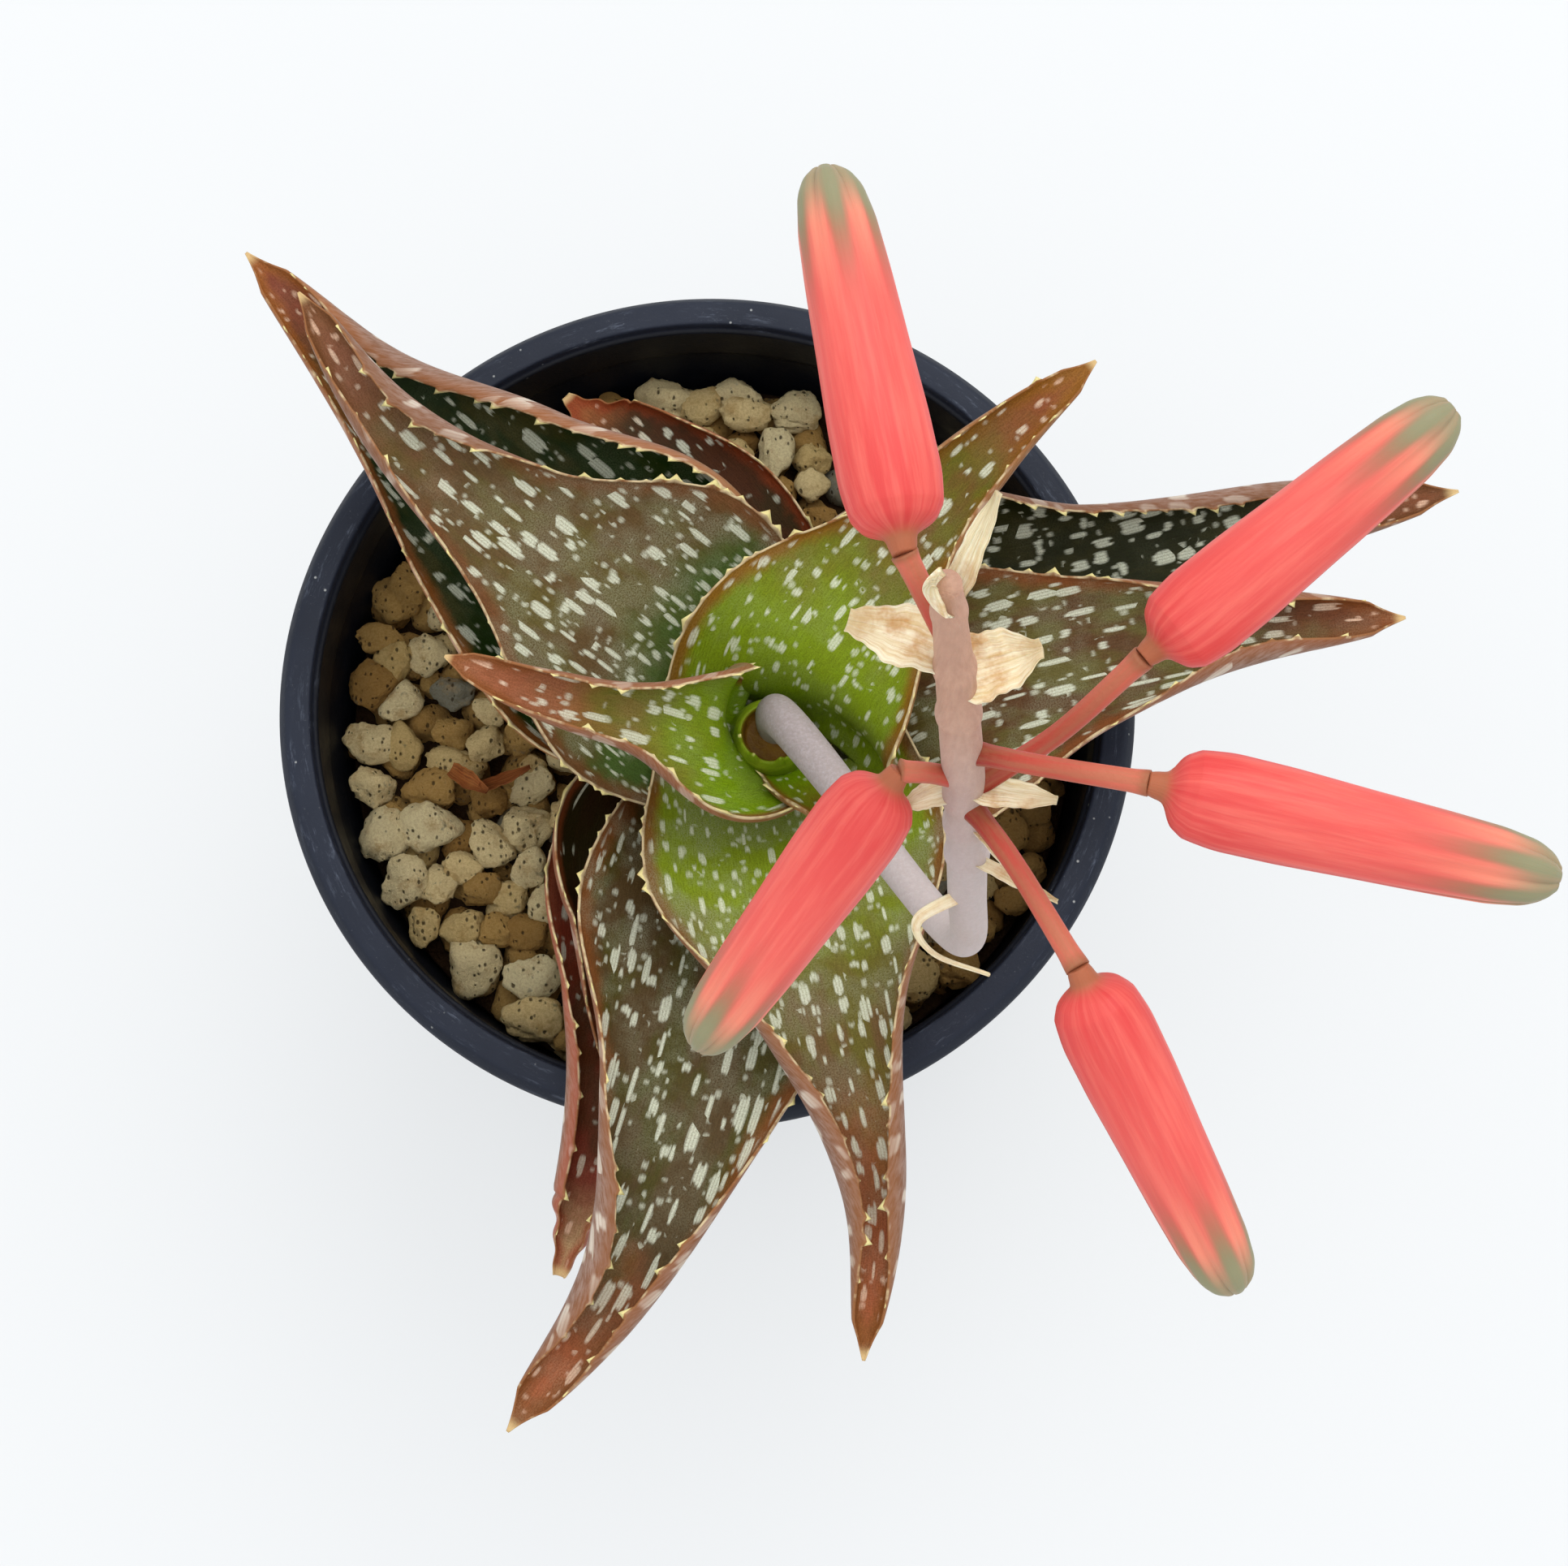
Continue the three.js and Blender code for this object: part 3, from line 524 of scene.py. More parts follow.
def streaked_spots(f, across, along, spots, crowd, offset, shrink=1.0):
    """Pale spots, each a few fine parallel streaks with uneven ends: 1 on them and 0 between."""
    gap_across, gap_along, half_width, half_length = spots
    x = f.maths("MULTIPLY_ADD", across, 1 / gap_across, offset)
    y = f.maths("MULTIPLY_ADD", along, 1 / gap_along, offset * 0.37)
    cells = f.cells(f.join(x, y), 1.0, randomness=0.85, dimensions="2D")
    middle_x, middle_y, _ = f.parts(cells.outputs["Position"])
    luck, more_luck, third_luck = f.parts(cells.outputs["Color"])
    aside = f.times(f.maths("SUBTRACT", x, middle_x), gap_across)
    ahead = f.times(f.maths("SUBTRACT", y, middle_y), gap_along)
    streaks = f.maths("DIVIDE", aside, STREAK)
    column = f.maths("ROUND", streaks)
    dice = f.node("ShaderNodeTexWhiteNoise", {
        "Vector": f.join(column, f.times(luck, 91.0), f.times(more_luck, 57.0)),
    }, noise_dimensions="3D")
    first, second, _ = f.parts(dice.outputs["Color"])
    width = f.times(f.maths("MULTIPLY_ADD", luck, half_width * 1.0, half_width * 0.45), shrink)
    share = f.maths("DIVIDE", aside, width)
    squared = f.times(share, share)
    inside = f.maths("MAXIMUM", f.maths("SUBTRACT", 1.0, f.times(squared, share, share)), 0.0)
    length = f.times(
        f.maths("MULTIPLY_ADD", more_luck, half_length * 1.0, half_length * 0.4), shrink,
        f.maths("SQRT", inside), f.maths("MULTIPLY_ADD", first, 0.35, 0.72),
    )
    pushed = f.maths("MULTIPLY_ADD", second, half_length * 0.36, half_length * -0.18)
    off = f.maths("ABSOLUTE", f.maths("SUBTRACT", ahead, pushed))
    body = f.times(f.step(f.maths("SUBTRACT", length, off), -0.2, 0.34), f.step(squared, 0.3, 1.1, 1.0, 0.0))
    seam = f.times(f.maths("ABSOLUTE", f.maths("SUBTRACT", streaks, column)), 2.0)
    there = f.maths("LESS_THAN", third_luck, crowd)
    return f.times(body, there, f.step(seam, 0.35, 1.0, 1.0, 0.7))


def leaf_finish(name, base, blade, olive, tip, border, ends, spots, crowd, bloom, band):
    """Waxy leaf skin: spotted blade, brown border and pale horny margin with its teeth."""
    f = Finish(name + "_skin", specular=0.1)
    along, across, edge = f.attribute("blade")
    reach, side, under = f.attribute("station")
    offset = float(sum(map(ord, name)) % 97)
    flat = f.join(across, along, offset)
    cloud = f.noise(flat, 0.16, 4.0)
    fibre = f.noise(f.join(f.times(across, 6.0), f.times(along, 0.8), offset), 1.0, 4.0, 0.6)
    speckle = f.noise(flat, 6.0, 3.0, 0.75)
    shifted = f.maths("ADD", reach, f.maths("MULTIPLY_ADD", cloud, 0.3, -0.15))

    patches = f.noise(f.join(f.times(across, 0.2), f.times(along, 0.09), offset), 1.0, 3.0, 0.6)
    skin = f.mix(f.step(patches, 0.42, 0.6), colour(*blade), colour(*olive))
    skin = f.mix(f.step(shifted, ends[0] * 0.5, ends[0] * 1.3), colour(*base), skin)
    skin = f.mix(f.step(shifted, ends[1] - 0.1, ends[1] + 0.16), skin, colour(*tip))
    wander = f.maths("MULTIPLY_ADD", f.noise(flat, 0.35, 4.0, 0.65), 1.9 * band, 0.25 * band)
    skin = f.mix(f.step(f.maths("DIVIDE", edge, wander), 0.5, 2.4, 0.9, 0.0), skin, colour(*border))
    grain = f.maths("MULTIPLY_ADD", fibre, 0.4, f.times(speckle, 0.6))
    skin = f.shaded(skin, f.step(grain, 0.36, 0.64, 0.8, 0.05), (0.5, 0.46, 0.34))
    # Grey bloom: partly the real waxy bloom, partly a painted sheen standing in for the leaves' satin gloss.
    haze = f.times(f.step(f.noise(flat, 0.22, 3.0), 0.4, 0.62), f.step(speckle, 0.34, 0.62))
    grey = f.times(haze, f.step(reach, 0.2, 0.75, 1.3 * bloom, 0.5 * bloom))
    skin = f.mix(grey, skin, colour(146, 148, 122))

    fewer = f.step(reach, 0.14, 0.42, crowd[0], crowd[1])
    shrink = f.times(f.step(reach, 0.1, 0.42, 0.72, 1.0), f.step(reach, 0.62, 1.0, 1.0, 0.65))
    large = streaked_spots(f, across, along, spots, fewer, offset, shrink)
    gathered = f.times(
        f.step(f.noise(flat, 0.4, 2.0), 0.42, 0.58, 0.12, 0.7),
        f.step(reach, 0.2, 0.7, crowd[0], crowd[1]),
    )
    small = streaked_spots(f, across, along, (1.15, 1.45, 0.3, 0.4), gathered, offset + 5.3)
    spot = f.times(f.maths("MAXIMUM", large, f.times(small, 0.7)), f.step(edge, 0.35, 1.0))
    lit = f.mix(f.step(reach, 0.7, 0.95), colour(216, 219, 196), colour(218, 180, 152))
    pale = f.mix(f.step(speckle, 0.3, 0.62, 0.5, 0.1), lit, skin)
    skin = f.mix(f.times(spot, 0.86), skin, pale)

    # Painted highlight: the paler lilac streaks on the rolled underside stand in for its gloss highlights.
    back = f.mix(f.step(fibre, 0.34, 0.66, 0.8, 0.1), colour(116, 78, 56), colour(150, 126, 114))
    back = f.mix(f.step(reach, 0.1, 0.4, 0.6, 0.0), back, colour(118, 112, 58))
    back = f.mix(f.times(f.maths("MAXIMUM", large, 0.0), 0.7), back, colour(212, 202, 186))
    back = f.mix(f.step(edge, 0.1, 1.3, 0.6, 0.0), back, colour(*border))
    skin = f.mix(f.step(under, 0.55, 0.95), skin, back)

    beading = f.noise(f.join(f.times(side, 3.0), f.times(along, 0.5), offset), 1.0, 3.0)
    browner = f.maths("MULTIPLY_ADD", reach, 0.3, beading)
    horn = f.mix(f.step(browner, 0.56, 0.76), colour(206, 188, 148), colour(138, 92, 56))
    skin = f.mix(f.step(edge, -0.03, 0.1, 0.75, 0.0), skin, horn)
    skin = f.mix(f.step(edge, -0.4, -0.2, 1.0, 0.0), skin, colour(222, 208, 144))
    skin = f.mix(f.step(edge, -1.3, -0.9, 0.6, 0.0), skin, colour(186, 128, 62))
    skin = f.mix(f.step(reach, 0.975, 0.995, 0.0, 0.7), skin, colour(214, 186, 132))

    f.bump(f.maths("MULTIPLY_ADD", fibre, 0.6, f.times(speckle, 0.5)), 0.14, 0.8)
    shine = f.maths("MULTIPLY_ADD", f.noise(flat, 0.9, 3.0), 0.25, 0.3)
    return f.set(Base_Color=skin, Roughness=shine, Subsurface_Weight=0.04, Subsurface_Scale=MM)


def heart_finish():
    """Fresh green sheath round the stalk's foot, brown inside, with pale teeth on its edge."""
    f = Finish("heart_skin", roughness=0.4, specular=0.15)
    spot = f.place()
    x, y, height = f.parts(spot)
    from_axis = f.join(f.maths("SUBTRACT", x, HEART[0]), f.maths("SUBTRACT", y, HEART[1]))
    out = f.node("ShaderNodeVectorMath", {0: from_axis}, operation="LENGTH").outputs["Value"]
    skin = f.mix(f.noise(spot, 0.9, 3.0), colour(108, 140, 14), colour(136, 150, 34))
    skin = f.mix(
        f.step(out, 2.7, 3.1, 1.0, 0.0),
        skin,
        f.mix(f.noise(spot, 1.6, 3.0), colour(92, 54, 14), colour(128, 96, 22)),
    )
    skin = f.mix(f.step(height, 87.3, 87.8), skin, colour(216, 206, 134))
    f.bump(f.noise(spot, 2.0, 3.0), 0.15, 0.6)
    return f.set(Base_Color=skin)


def pot_finish():
    """Blue-black plastic with pale scuffs and dust, most of all along the rim."""
    f = Finish("scuffed_pot_plastic", specular=0.15)
    spot = f.place()
    x, y, z = f.parts(spot)
    out = f.node("ShaderNodeVectorMath", {0: f.join(x, y, 0.0)}, operation="LENGTH").outputs["Value"]
    turn = f.times(f.maths("ARCTAN2", y, x), 45.0)
    skin = f.mix(f.noise(spot, 0.08, 3.0), colour(20, 24, 34), colour(36, 41, 54))
    rim = f.step(z, 74.0, 77.4)
    round_it = f.join(f.times(turn, 0.25), f.times(out, 1.5), f.times(z, 1.5))
    scuff = f.times(
        f.step(f.noise(round_it, 1.0, 6.0, 0.75), 0.52, 0.76),
        f.step(f.noise(spot, 0.14, 3.0), 0.4, 0.64),
    )
    skin = f.mix(f.times(scuff, f.maths("MULTIPLY_ADD", rim, 0.44, 0.12)), skin, colour(120, 128, 144))
    dust = f.step(f.noise(spot, 2.4, 5.0, 0.8), 0.6, 0.8)
    skin = f.mix(f.times(dust, f.maths("MULTIPLY_ADD", rim, 0.25, 0.1)), skin, colour(140, 142, 146))
    specks = f.cells(spot, 0.7)
    few = f.maths("GREATER_THAN", f.parts(specks.outputs["Color"])[1], 0.82)
    speck = f.times(f.step(specks.outputs["Distance"], 0.05, 0.13, 1.0, 0.0), few)
    skin = f.mix(f.times(speck, f.maths("MULTIPLY_ADD", rim, 0.5, 0.1)), skin, colour(176, 178, 176))
    chamfer = f.times(f.step(out, 43.8, 44.3), rim)
    skin = f.mix(f.times(chamfer, 0.4), skin, colour(18, 22, 32))
    # Painted shade: everything inside the rim's inner edge is darkened nearly to black, standing in for the
    # shade inside the pot.
    inside = f.step(out, 40.9, 41.7, 0.85, 0.0)
    skin = f.mix(inside, skin, colour(5, 6, 10))
    f.bump(f.noise(spot, 3.0, 4.0), 0.06, 0.5)
    rough = f.maths("MULTIPLY_ADD", f.noise(spot, 0.4, 3.0), 0.2, 0.38)
    return f.set(Base_Color=skin, Roughness=f.maths("MULTIPLY_ADD", scuff, 0.25, rough))


def grain_finish():
    """Dry pumice and fired clay grains: rough, pitted, each with a tone of its own."""
    f = Finish("pumice_and_clay_grains", roughness=0.95, specular=0.05)
    spot = f.place()
    x, y, z = f.parts(spot)
    tone, shade, seed = f.attribute("tone")
    cream = f.mix(shade, colour(255, 226, 162), colour(255, 238, 188))
    tan = f.mix(shade, colour(226, 194, 128), colour(242, 214, 152))
    brown = f.mix(shade, colour(170, 128, 70), colour(206, 166, 100))
    grey = f.mix(shade, colour(146, 142, 122), colour(176, 172, 156))
    skin = f.mix(f.maths("GREATER_THAN", tone, 0.15), cream, tan)
    skin = f.mix(f.maths("GREATER_THAN", tone, 0.45), skin, brown)
    skin = f.mix(f.maths("GREATER_THAN", tone, 0.75), skin, grey)
    stain = f.noise(f.join(f.maths("MULTIPLY_ADD", seed, 40.0, x), y, z), 0.35, 4.0, 0.65)
    skin = f.mix(f.step(stain, 0.5, 0.7, 0.0, 0.6), skin, colour(204, 160, 94))
    smudge = f.noise(f.join(x, f.maths("MULTIPLY_ADD", seed, 60.0, y), z), 0.5, 3.0, 0.6)
    skin = f.mix(f.step(smudge, 0.64, 0.74, 0.0, 0.7), skin, colour(122, 112, 92))
    sand = f.noise(spot, 3.4, 6.0, 0.8)
    skin = f.shaded(skin, f.step(sand, 0.4, 0.58, 0.4, 0.0), (0.6, 0.5, 0.32))
    pits = f.cells(f.join(x, f.times(y, 0.7), z), 1.7)
    luck, depth, _ = f.parts(pits.outputs["Color"])
    wide = f.maths("MULTIPLY_ADD", depth, 0.32, 0.12)
    pit = f.times(
        f.step(f.maths("DIVIDE", pits.outputs["Distance"], wide), 0.5, 1.1, 1.0, 0.0),
        f.maths("GREATER_THAN", luck, 0.5),
    )
    # Painted shade: the pits are coloured dark brown, standing in for the shade inside them.
    skin = f.mix(f.times(pit, 0.85), skin, colour(74, 58, 36))
    f.bump(f.maths("SUBTRACT", sand, f.times(pit, 0.9)), 0.8, 1.0)
    return f.set(Base_Color=skin)


def bed_finish():
    """Soil fines between and below the grains, painted nearly black as the shade in the gaps between them."""
    f = Finish("soil_fines_painted_gap_shade", roughness=0.95, specular=0.05)
    spot = f.place()
    # Painted shade: the near-black colour stands for the shade in the gaps between the grains.
    skin = f.mix(f.noise(spot, 1.2, 5.0, 0.7), colour(18, 12, 8), colour(66, 46, 28))
    f.bump(f.noise(spot, 1.6, 5.0, 0.7), 0.8, 1.0)
    return f.set(Base_Color=skin)


def stem_finish():
    """Dry brown leaf scars that turn green under the heart."""
    f = Finish("stem_bark", roughness=0.8, specular=0.15)
    spot = f.place()
    skin = f.mix(f.noise(spot, 0.8, 4.0, 0.6), colour(84, 66, 38), colour(140, 120, 78))
    skin = f.mix(f.step(f.parts(spot)[2], 74.0, 78.0), skin, colour(84, 110, 20))
    f.bump(f.noise(spot, 1.6, 4.0, 0.6), 0.4, 0.8)
    return f.set(Base_Color=skin)


def stalk_finish():
    """Mauve stalk with a grey waxy bloom, brown and redder towards the flowers."""
    f = Finish("bloomed_stalk_skin", roughness=0.6, specular=0.2)
    spot = f.place()
    x, y, z = f.parts(spot)
    streaks = f.noise(f.join(f.times(x, 2.4), f.times(y, 2.4), f.times(z, 0.15)), 1.0, 4.0, 0.65)
    wax = f.noise(spot, 2.6, 4.0, 0.7)
    skin = f.mix(streaks, colour(130, 118, 114), colour(156, 146, 144))
    skin = f.mix(f.step(wax, 0.4, 0.8, 0.0, 0.3), skin, colour(196, 188, 194))
    skin = f.mix(f.step(z, 84.0, 90.0, 0.5, 0.0), skin, colour(150, 150, 112))
    skin = f.mix(f.step(z, 92.0, 116.0, 0.0, 0.5), skin, colour(206, 192, 188))
    red = f.mix(streaks, colour(150, 104, 80), colour(198, 154, 126))
    skin = f.mix(f.step(z, 134.0, 166.0, 0.0, 0.85), skin, red)
    f.bump(f.maths("MULTIPLY_ADD", streaks, 0.8, f.times(wax, 0.3)), 0.2, 0.7)
    return f.set(Base_Color=skin, Subsurface_Weight=0.05, Subsurface_Scale=1.5 * MM)


def pedicel_finish():
    """Red-brown pedicel, dark where it starts and paler where it meets the flower."""
    f = Finish("red_brown_pedicel_skin", roughness=0.5, specular=0.25)
    t, turn, _ = f.attribute("station")
    streaks = f.noise(f.join(f.times(turn, 9.0), f.times(t, 2.0)), 1.0, 3.0)
    skin = f.mix(f.step(t, 0.0, 0.4), colour(124, 26, 18), colour(176, 64, 52))
    skin = f.mix(f.step(t, 0.5, 0.95), skin, colour(196, 96, 76))
    skin = f.mix(f.step(t, 0.93, 1.0), skin, colour(150, 84, 56))
    skin = f.mix(f.step(streaks, 0.35, 0.7, 0.5, 0.0), skin, colour(150, 104, 72))
    f.bump(f.noise(f.place(), 2.4, 3.0), 0.12, 0.6)
    return f.set(Base_Color=skin)


def dry_finish(name, light, dark, stain):
    """Papery dry tissue with darker veins and stains."""
    f = Finish(name, roughness=0.8, specular=0.1)
    t, side, lot = f.attribute("station")
    veins = f.noise(f.join(f.times(side, 7.0), f.times(t, 1.4), lot), 1.0, 4.0, 0.65)
    skin = f.mix(f.step(veins, 0.35, 0.68), colour(*light), colour(*dark))
    skin = f.mix(f.step(f.noise(f.place(), 0.4, 4.0, 0.65), 0.46, 0.78, 0.0, 0.8), skin, colour(*stain))
    skin = f.mix(f.step(t, 0.7, 1.0, 0.0, 0.5), skin, colour(*dark))
    f.bump(veins, 0.3, 0.9)
    return f.set(Base_Color=skin, Subsurface_Weight=0.08, Subsurface_Scale=0.8 * MM)


def flower_finish():
    """Coral tube of smooth segments, whose tips turn green with paler edges."""
    f = Finish("coral_flower_skin", roughness=0.45, specular=0.2)
    t, turn, lot = f.attribute("station")
    streaks = f.noise(f.join(f.times(turn, 26.0), f.times(t, 2.2), lot), 1.0, 4.0, 0.6)
    skin = f.mix(f.step(t, 0.0, 0.5), colour(200, 64, 62), colour(208, 82, 76))
    skin = f.mix(f.step(streaks, 0.36, 0.72, 0.0, 0.55), skin, colour(222, 112, 98))
    # From 0 on a segment's midline to 1 where it meets the next one
    sixth = f.maths("FRACT", f.times(turn, float(SEGMENTS)))
    from_midline = f.times(f.maths("ABSOLUTE", f.maths("SUBTRACT", sixth, 0.5)), 2.0)
    ragged = f.maths("MULTIPLY_ADD", streaks, 0.3, from_midline)
    pale = f.times(f.step(t, 0.5, 0.95), f.step(ragged, 0.4, 0.95))
    skin = f.mix(f.times(pale, 0.7), skin, colour(214, 142, 112))
    # Brown along each segment's midline: partly the segment's own dark midline stripe, partly painted shade
    # giving the tube contrast along its length.
    brown = f.times(f.step(t, 0.45, 0.8), f.step(ragged, 0.3, 0.7, 1.0, 0.0))
    skin = f.mix(f.times(brown, 0.7), skin, colour(172, 92, 76))
    green = f.times(f.step(t, 0.62, 0.94), f.step(ragged, 0.35, 0.8, 1.0, 0.0))
    skin = f.mix(green, skin, colour(116, 118, 84))
    skin = f.mix(
        f.step(f.maths("MULTIPLY_ADD", ragged, -0.06, t), 0.74, 0.91, 0.0, 0.9),
        skin,
        colour(132, 128, 98),
    )
    skin = f.mix(f.step(t, -0.02, 0.015, 1.0, 0.0), skin, colour(160, 92, 62))
    f.bump(streaks, 0.14, 0.6)
    return f.set(Base_Color=skin, Subsurface_Weight=0.1, Subsurface_Scale=1.5 * MM)


def floor_finish():
    """A plain white table that glows a little, as over a light box, so that shadows stay soft."""
    f = Finish("pale_table", roughness=0.8, specular=0.1)
    cloud = f.noise(f.node("ShaderNodeTexCoord").outputs["Object"], 2.0, 2.0)
    f.set(Emission_Color=(0.97, 0.99, 1.0, 1), Emission_Strength=0.52)
    return f.set(Base_Color=f.mix(cloud, (0.27, 0.273, 0.276, 1), (0.29, 0.293, 0.296, 1)))


# Pot


def inner_wall_radius(height):
    outer = BASE_RADIUS + (WALL_TOP_RADIUS - BASE_RADIUS) * height / (POT_HEIGHT - COLLAR_HEIGHT)
    return outer - WALL


def rounded(profile, radii, steps=5):
    """A profile with its inner corners rounded off by small curves."""
    points = [profile[0]]
    for before, corner, after, radius in zip(profile, profile[1:], profile[2:], radii):
        before, corner, after = (np.array(p, float) for p in (before, corner, after))
        back, on = before - corner, after - corner
        cut = min(radius, 0.45 * np.linalg.norm(back), 0.45 * np.linalg.norm(on))
        start = corner + unit(back) * cut
        end = corner + unit(on) * cut
        for t in np.linspace(0, 1, steps):
            points.append(tuple((1 - t) ** 2 * start + 2 * t * (1 - t) * corner + t ** 2 * end))
    points.append(profile[-1])
    return points


def pot_piece():
    collar_foot = POT_HEIGHT - COLLAR_HEIGHT
    lip = RIM_INNER_RADIUS - LIP_STEP
    profile = [
        (0, 0), (BASE_RADIUS - 1, 0), (BASE_RADIUS, 1),
        (WALL_TOP_RADIUS, collar_foot), (COLLAR_FOOT_RADIUS, collar_foot),
        (RIM_RADIUS, POT_HEIGHT - 1.2), (RIM_RADIUS - 1, POT_HEIGHT),
        (RIM_INNER_RADIUS, POT_HEIGHT), (RIM_INNER_RADIUS - 0.2, POT_HEIGHT - 0.8),
        (lip, POT_HEIGHT - 1), (lip - 0.2, SHOULDER_HEIGHT),
        (inner_wall_radius(SHOULDER_HEIGHT - 1), SHOULDER_HEIGHT - 1),
        (inner_wall_radius(FLOOR + 1), FLOOR + 1), (inner_wall_radius(FLOOR) - 1, FLOOR), (0, FLOOR),
    ]
    corners = [0.8, 0.8, 0.4, 0.3, 0.5, 0.5, 0.3, 0.2, 0.3, 0.4, 0.4, 0.8, 0.8]
    plastic = pot_finish()
    pot = lathe_piece("pot_shell", rounded(profile, corners), POT_SIDES, plastic)
    cutters = [drain_cutter(i / DRAIN_HOLES * 2 * math.pi, plastic) for i in range(DRAIN_HOLES)]
    for cutter in cutters:
        cut = pot.modifiers.new("drain_hole", "BOOLEAN")
        cut.operation = "DIFFERENCE"
        cut.solver = "EXACT"
        cut.object = cutter
    bake_modifiers(pot)
    for cutter in cutters:
        bpy.data.objects.remove(cutter)
    pot.data.set_sharp_from_angle(angle=math.radians(40))
    return place(pot, "pot_plastic", "pot")


def drain_cutter(angle, material):
    middle = (DRAIN_CIRCLE_RADIUS * math.cos(angle), DRAIN_CIRCLE_RADIUS * math.sin(angle))
    profile = [(0, -1), (DRAIN_RADIUS, -1), (DRAIN_RADIUS, FLOOR + 1), (0, FLOOR + 1)]
    return lathe_piece("drain_cutter", profile, 32, material, middle)


def bake_modifiers(piece):
    """Turns a piece's modifiers into its plain mesh."""
    depsgraph = bpy.context.evaluated_depsgraph_get()
    mesh = bpy.data.meshes.new_from_object(piece.evaluated_get(depsgraph), depsgraph=depsgraph)
    piece.modifiers.clear()
    piece.data = mesh
    return piece


# Substrate


def grain_shapes(material, subdivisions):
    """Rough blocky grains that fill a box of 2 mm: flats cut on a ball, then roughened."""
    rng = np.random.default_rng(SEED)
    shapes = []
    for number in range(GRAIN_SHAPES):
        bpy.ops.mesh.primitive_ico_sphere_add(subdivisions=subdivisions, radius=1)
        shape = bpy.context.object
        shape.name = f"grain_shape_{number}"
        ways = np.array([v.co for v in shape.data.vertices])
        normals = unit(rng.normal(size=(GRAIN_FACETS, 3)))
        depths = rng.uniform(0.7, 1.0, GRAIN_FACETS)
        cut = depths / np.maximum(ways @ normals.T, 0.05)
        flats = np.exp(-GRAIN_EDGE_SHARPNESS * np.minimum(cut, 2.5)).sum(1)
        ball = math.exp(-GRAIN_EDGE_SHARPNESS * GRAIN_ROUNDING)
        reach = -np.log(flats + ball) / GRAIN_EDGE_SHARPNESS
        shift = Vector(rng.uniform(-50, 50, 3))
        lumps = np.array([noise.fractal(Vector(way) * 2.1 + shift, 0.7, 2.2, 5) for way in ways])
        points = ways * (reach + 0.13 * lumps)[:, None]
        low, high = points.min(0), points.max(0)
        points = (points - (low + high) / 2) / ((high - low) / 2)
        shape.data.vertices.foreach_set("co", (points * MM).ravel())
        shape.data.materials.append(material)
        shape.data.shade_smooth()
        shapes.append(shape)
    return shapes


def clear_of_wall(x, y, half, heading):
    """Where a grain lies once it is drawn in as far as the pot wall asks."""
    slant = math.atan2(y, x) - heading
    reach = math.hypot(half[0] * math.cos(slant), half[1] * math.sin(slant))
    share = min(1, (BED_RADIUS - reach) / math.hypot(x, y))
    return x * share, y * share


def shown_grains(rng):
    """The grains set out one by one: place, half sizes, turn and tone of each."""
    rows = []
    for x, y, length, width, degrees, tone in SHOWN_GRAINS:
        heading = math.radians(degrees)
        half = (length / 2 + 0.15, width / 2 + 0.15, width / 2 * rng.uniform(0.7, 0.95))
        height = SOIL_TOP + 1.2 + rng.uniform(-BED_UNEVENNESS, BED_UNEVENNESS)
        turn = (rng.uniform(-0.3, 0.3), rng.uniform(-0.3, 0.3), heading)
        rows.append([*clear_of_wall(x, y, half, heading), height, *half, *turn, TONES[tone]])
    return rows


def filling_grains(rng, height, closeness, laid, shares):
    """Seeded grains in one layer, large to small, each clear of those laid before it; shares tells
    how many there are of each tone."""
    rows = []
    for attempt in range(GRAIN_TRIES):
        size = FILLING_GRAIN - FILLING_RANGE * (attempt / GRAIN_TRIES) ** 0.7 + rng.uniform(-0.2, 0.2)
        angle = rng.uniform(0, 2 * math.pi)
        out = (BED_RADIUS - size * 1.1) * math.sqrt(rng.uniform())
        x, y = out * math.cos(angle), out * math.sin(angle)
        if math.hypot(x - ROSETTE[0], y - ROSETTE[1]) < STEM_RADIUS + size:
            continue
        if any((x - gx) ** 2 + (y - gy) ** 2 < (closeness * (size + gs)) ** 2 for gx, gy, gs in laid):
            continue
        laid.append((x, y, size))
        half = size * rng.uniform(0.85, 1.2, 3)
        tone = rng.choice(list(TONES.values()), p=shares)
        middle = (x, y, height + rng.uniform(-BED_UNEVENNESS, BED_UNEVENNESS))
        rows.append([*middle, *half, *rng.uniform(0, 2 * math.pi, 3), tone])
    return rows


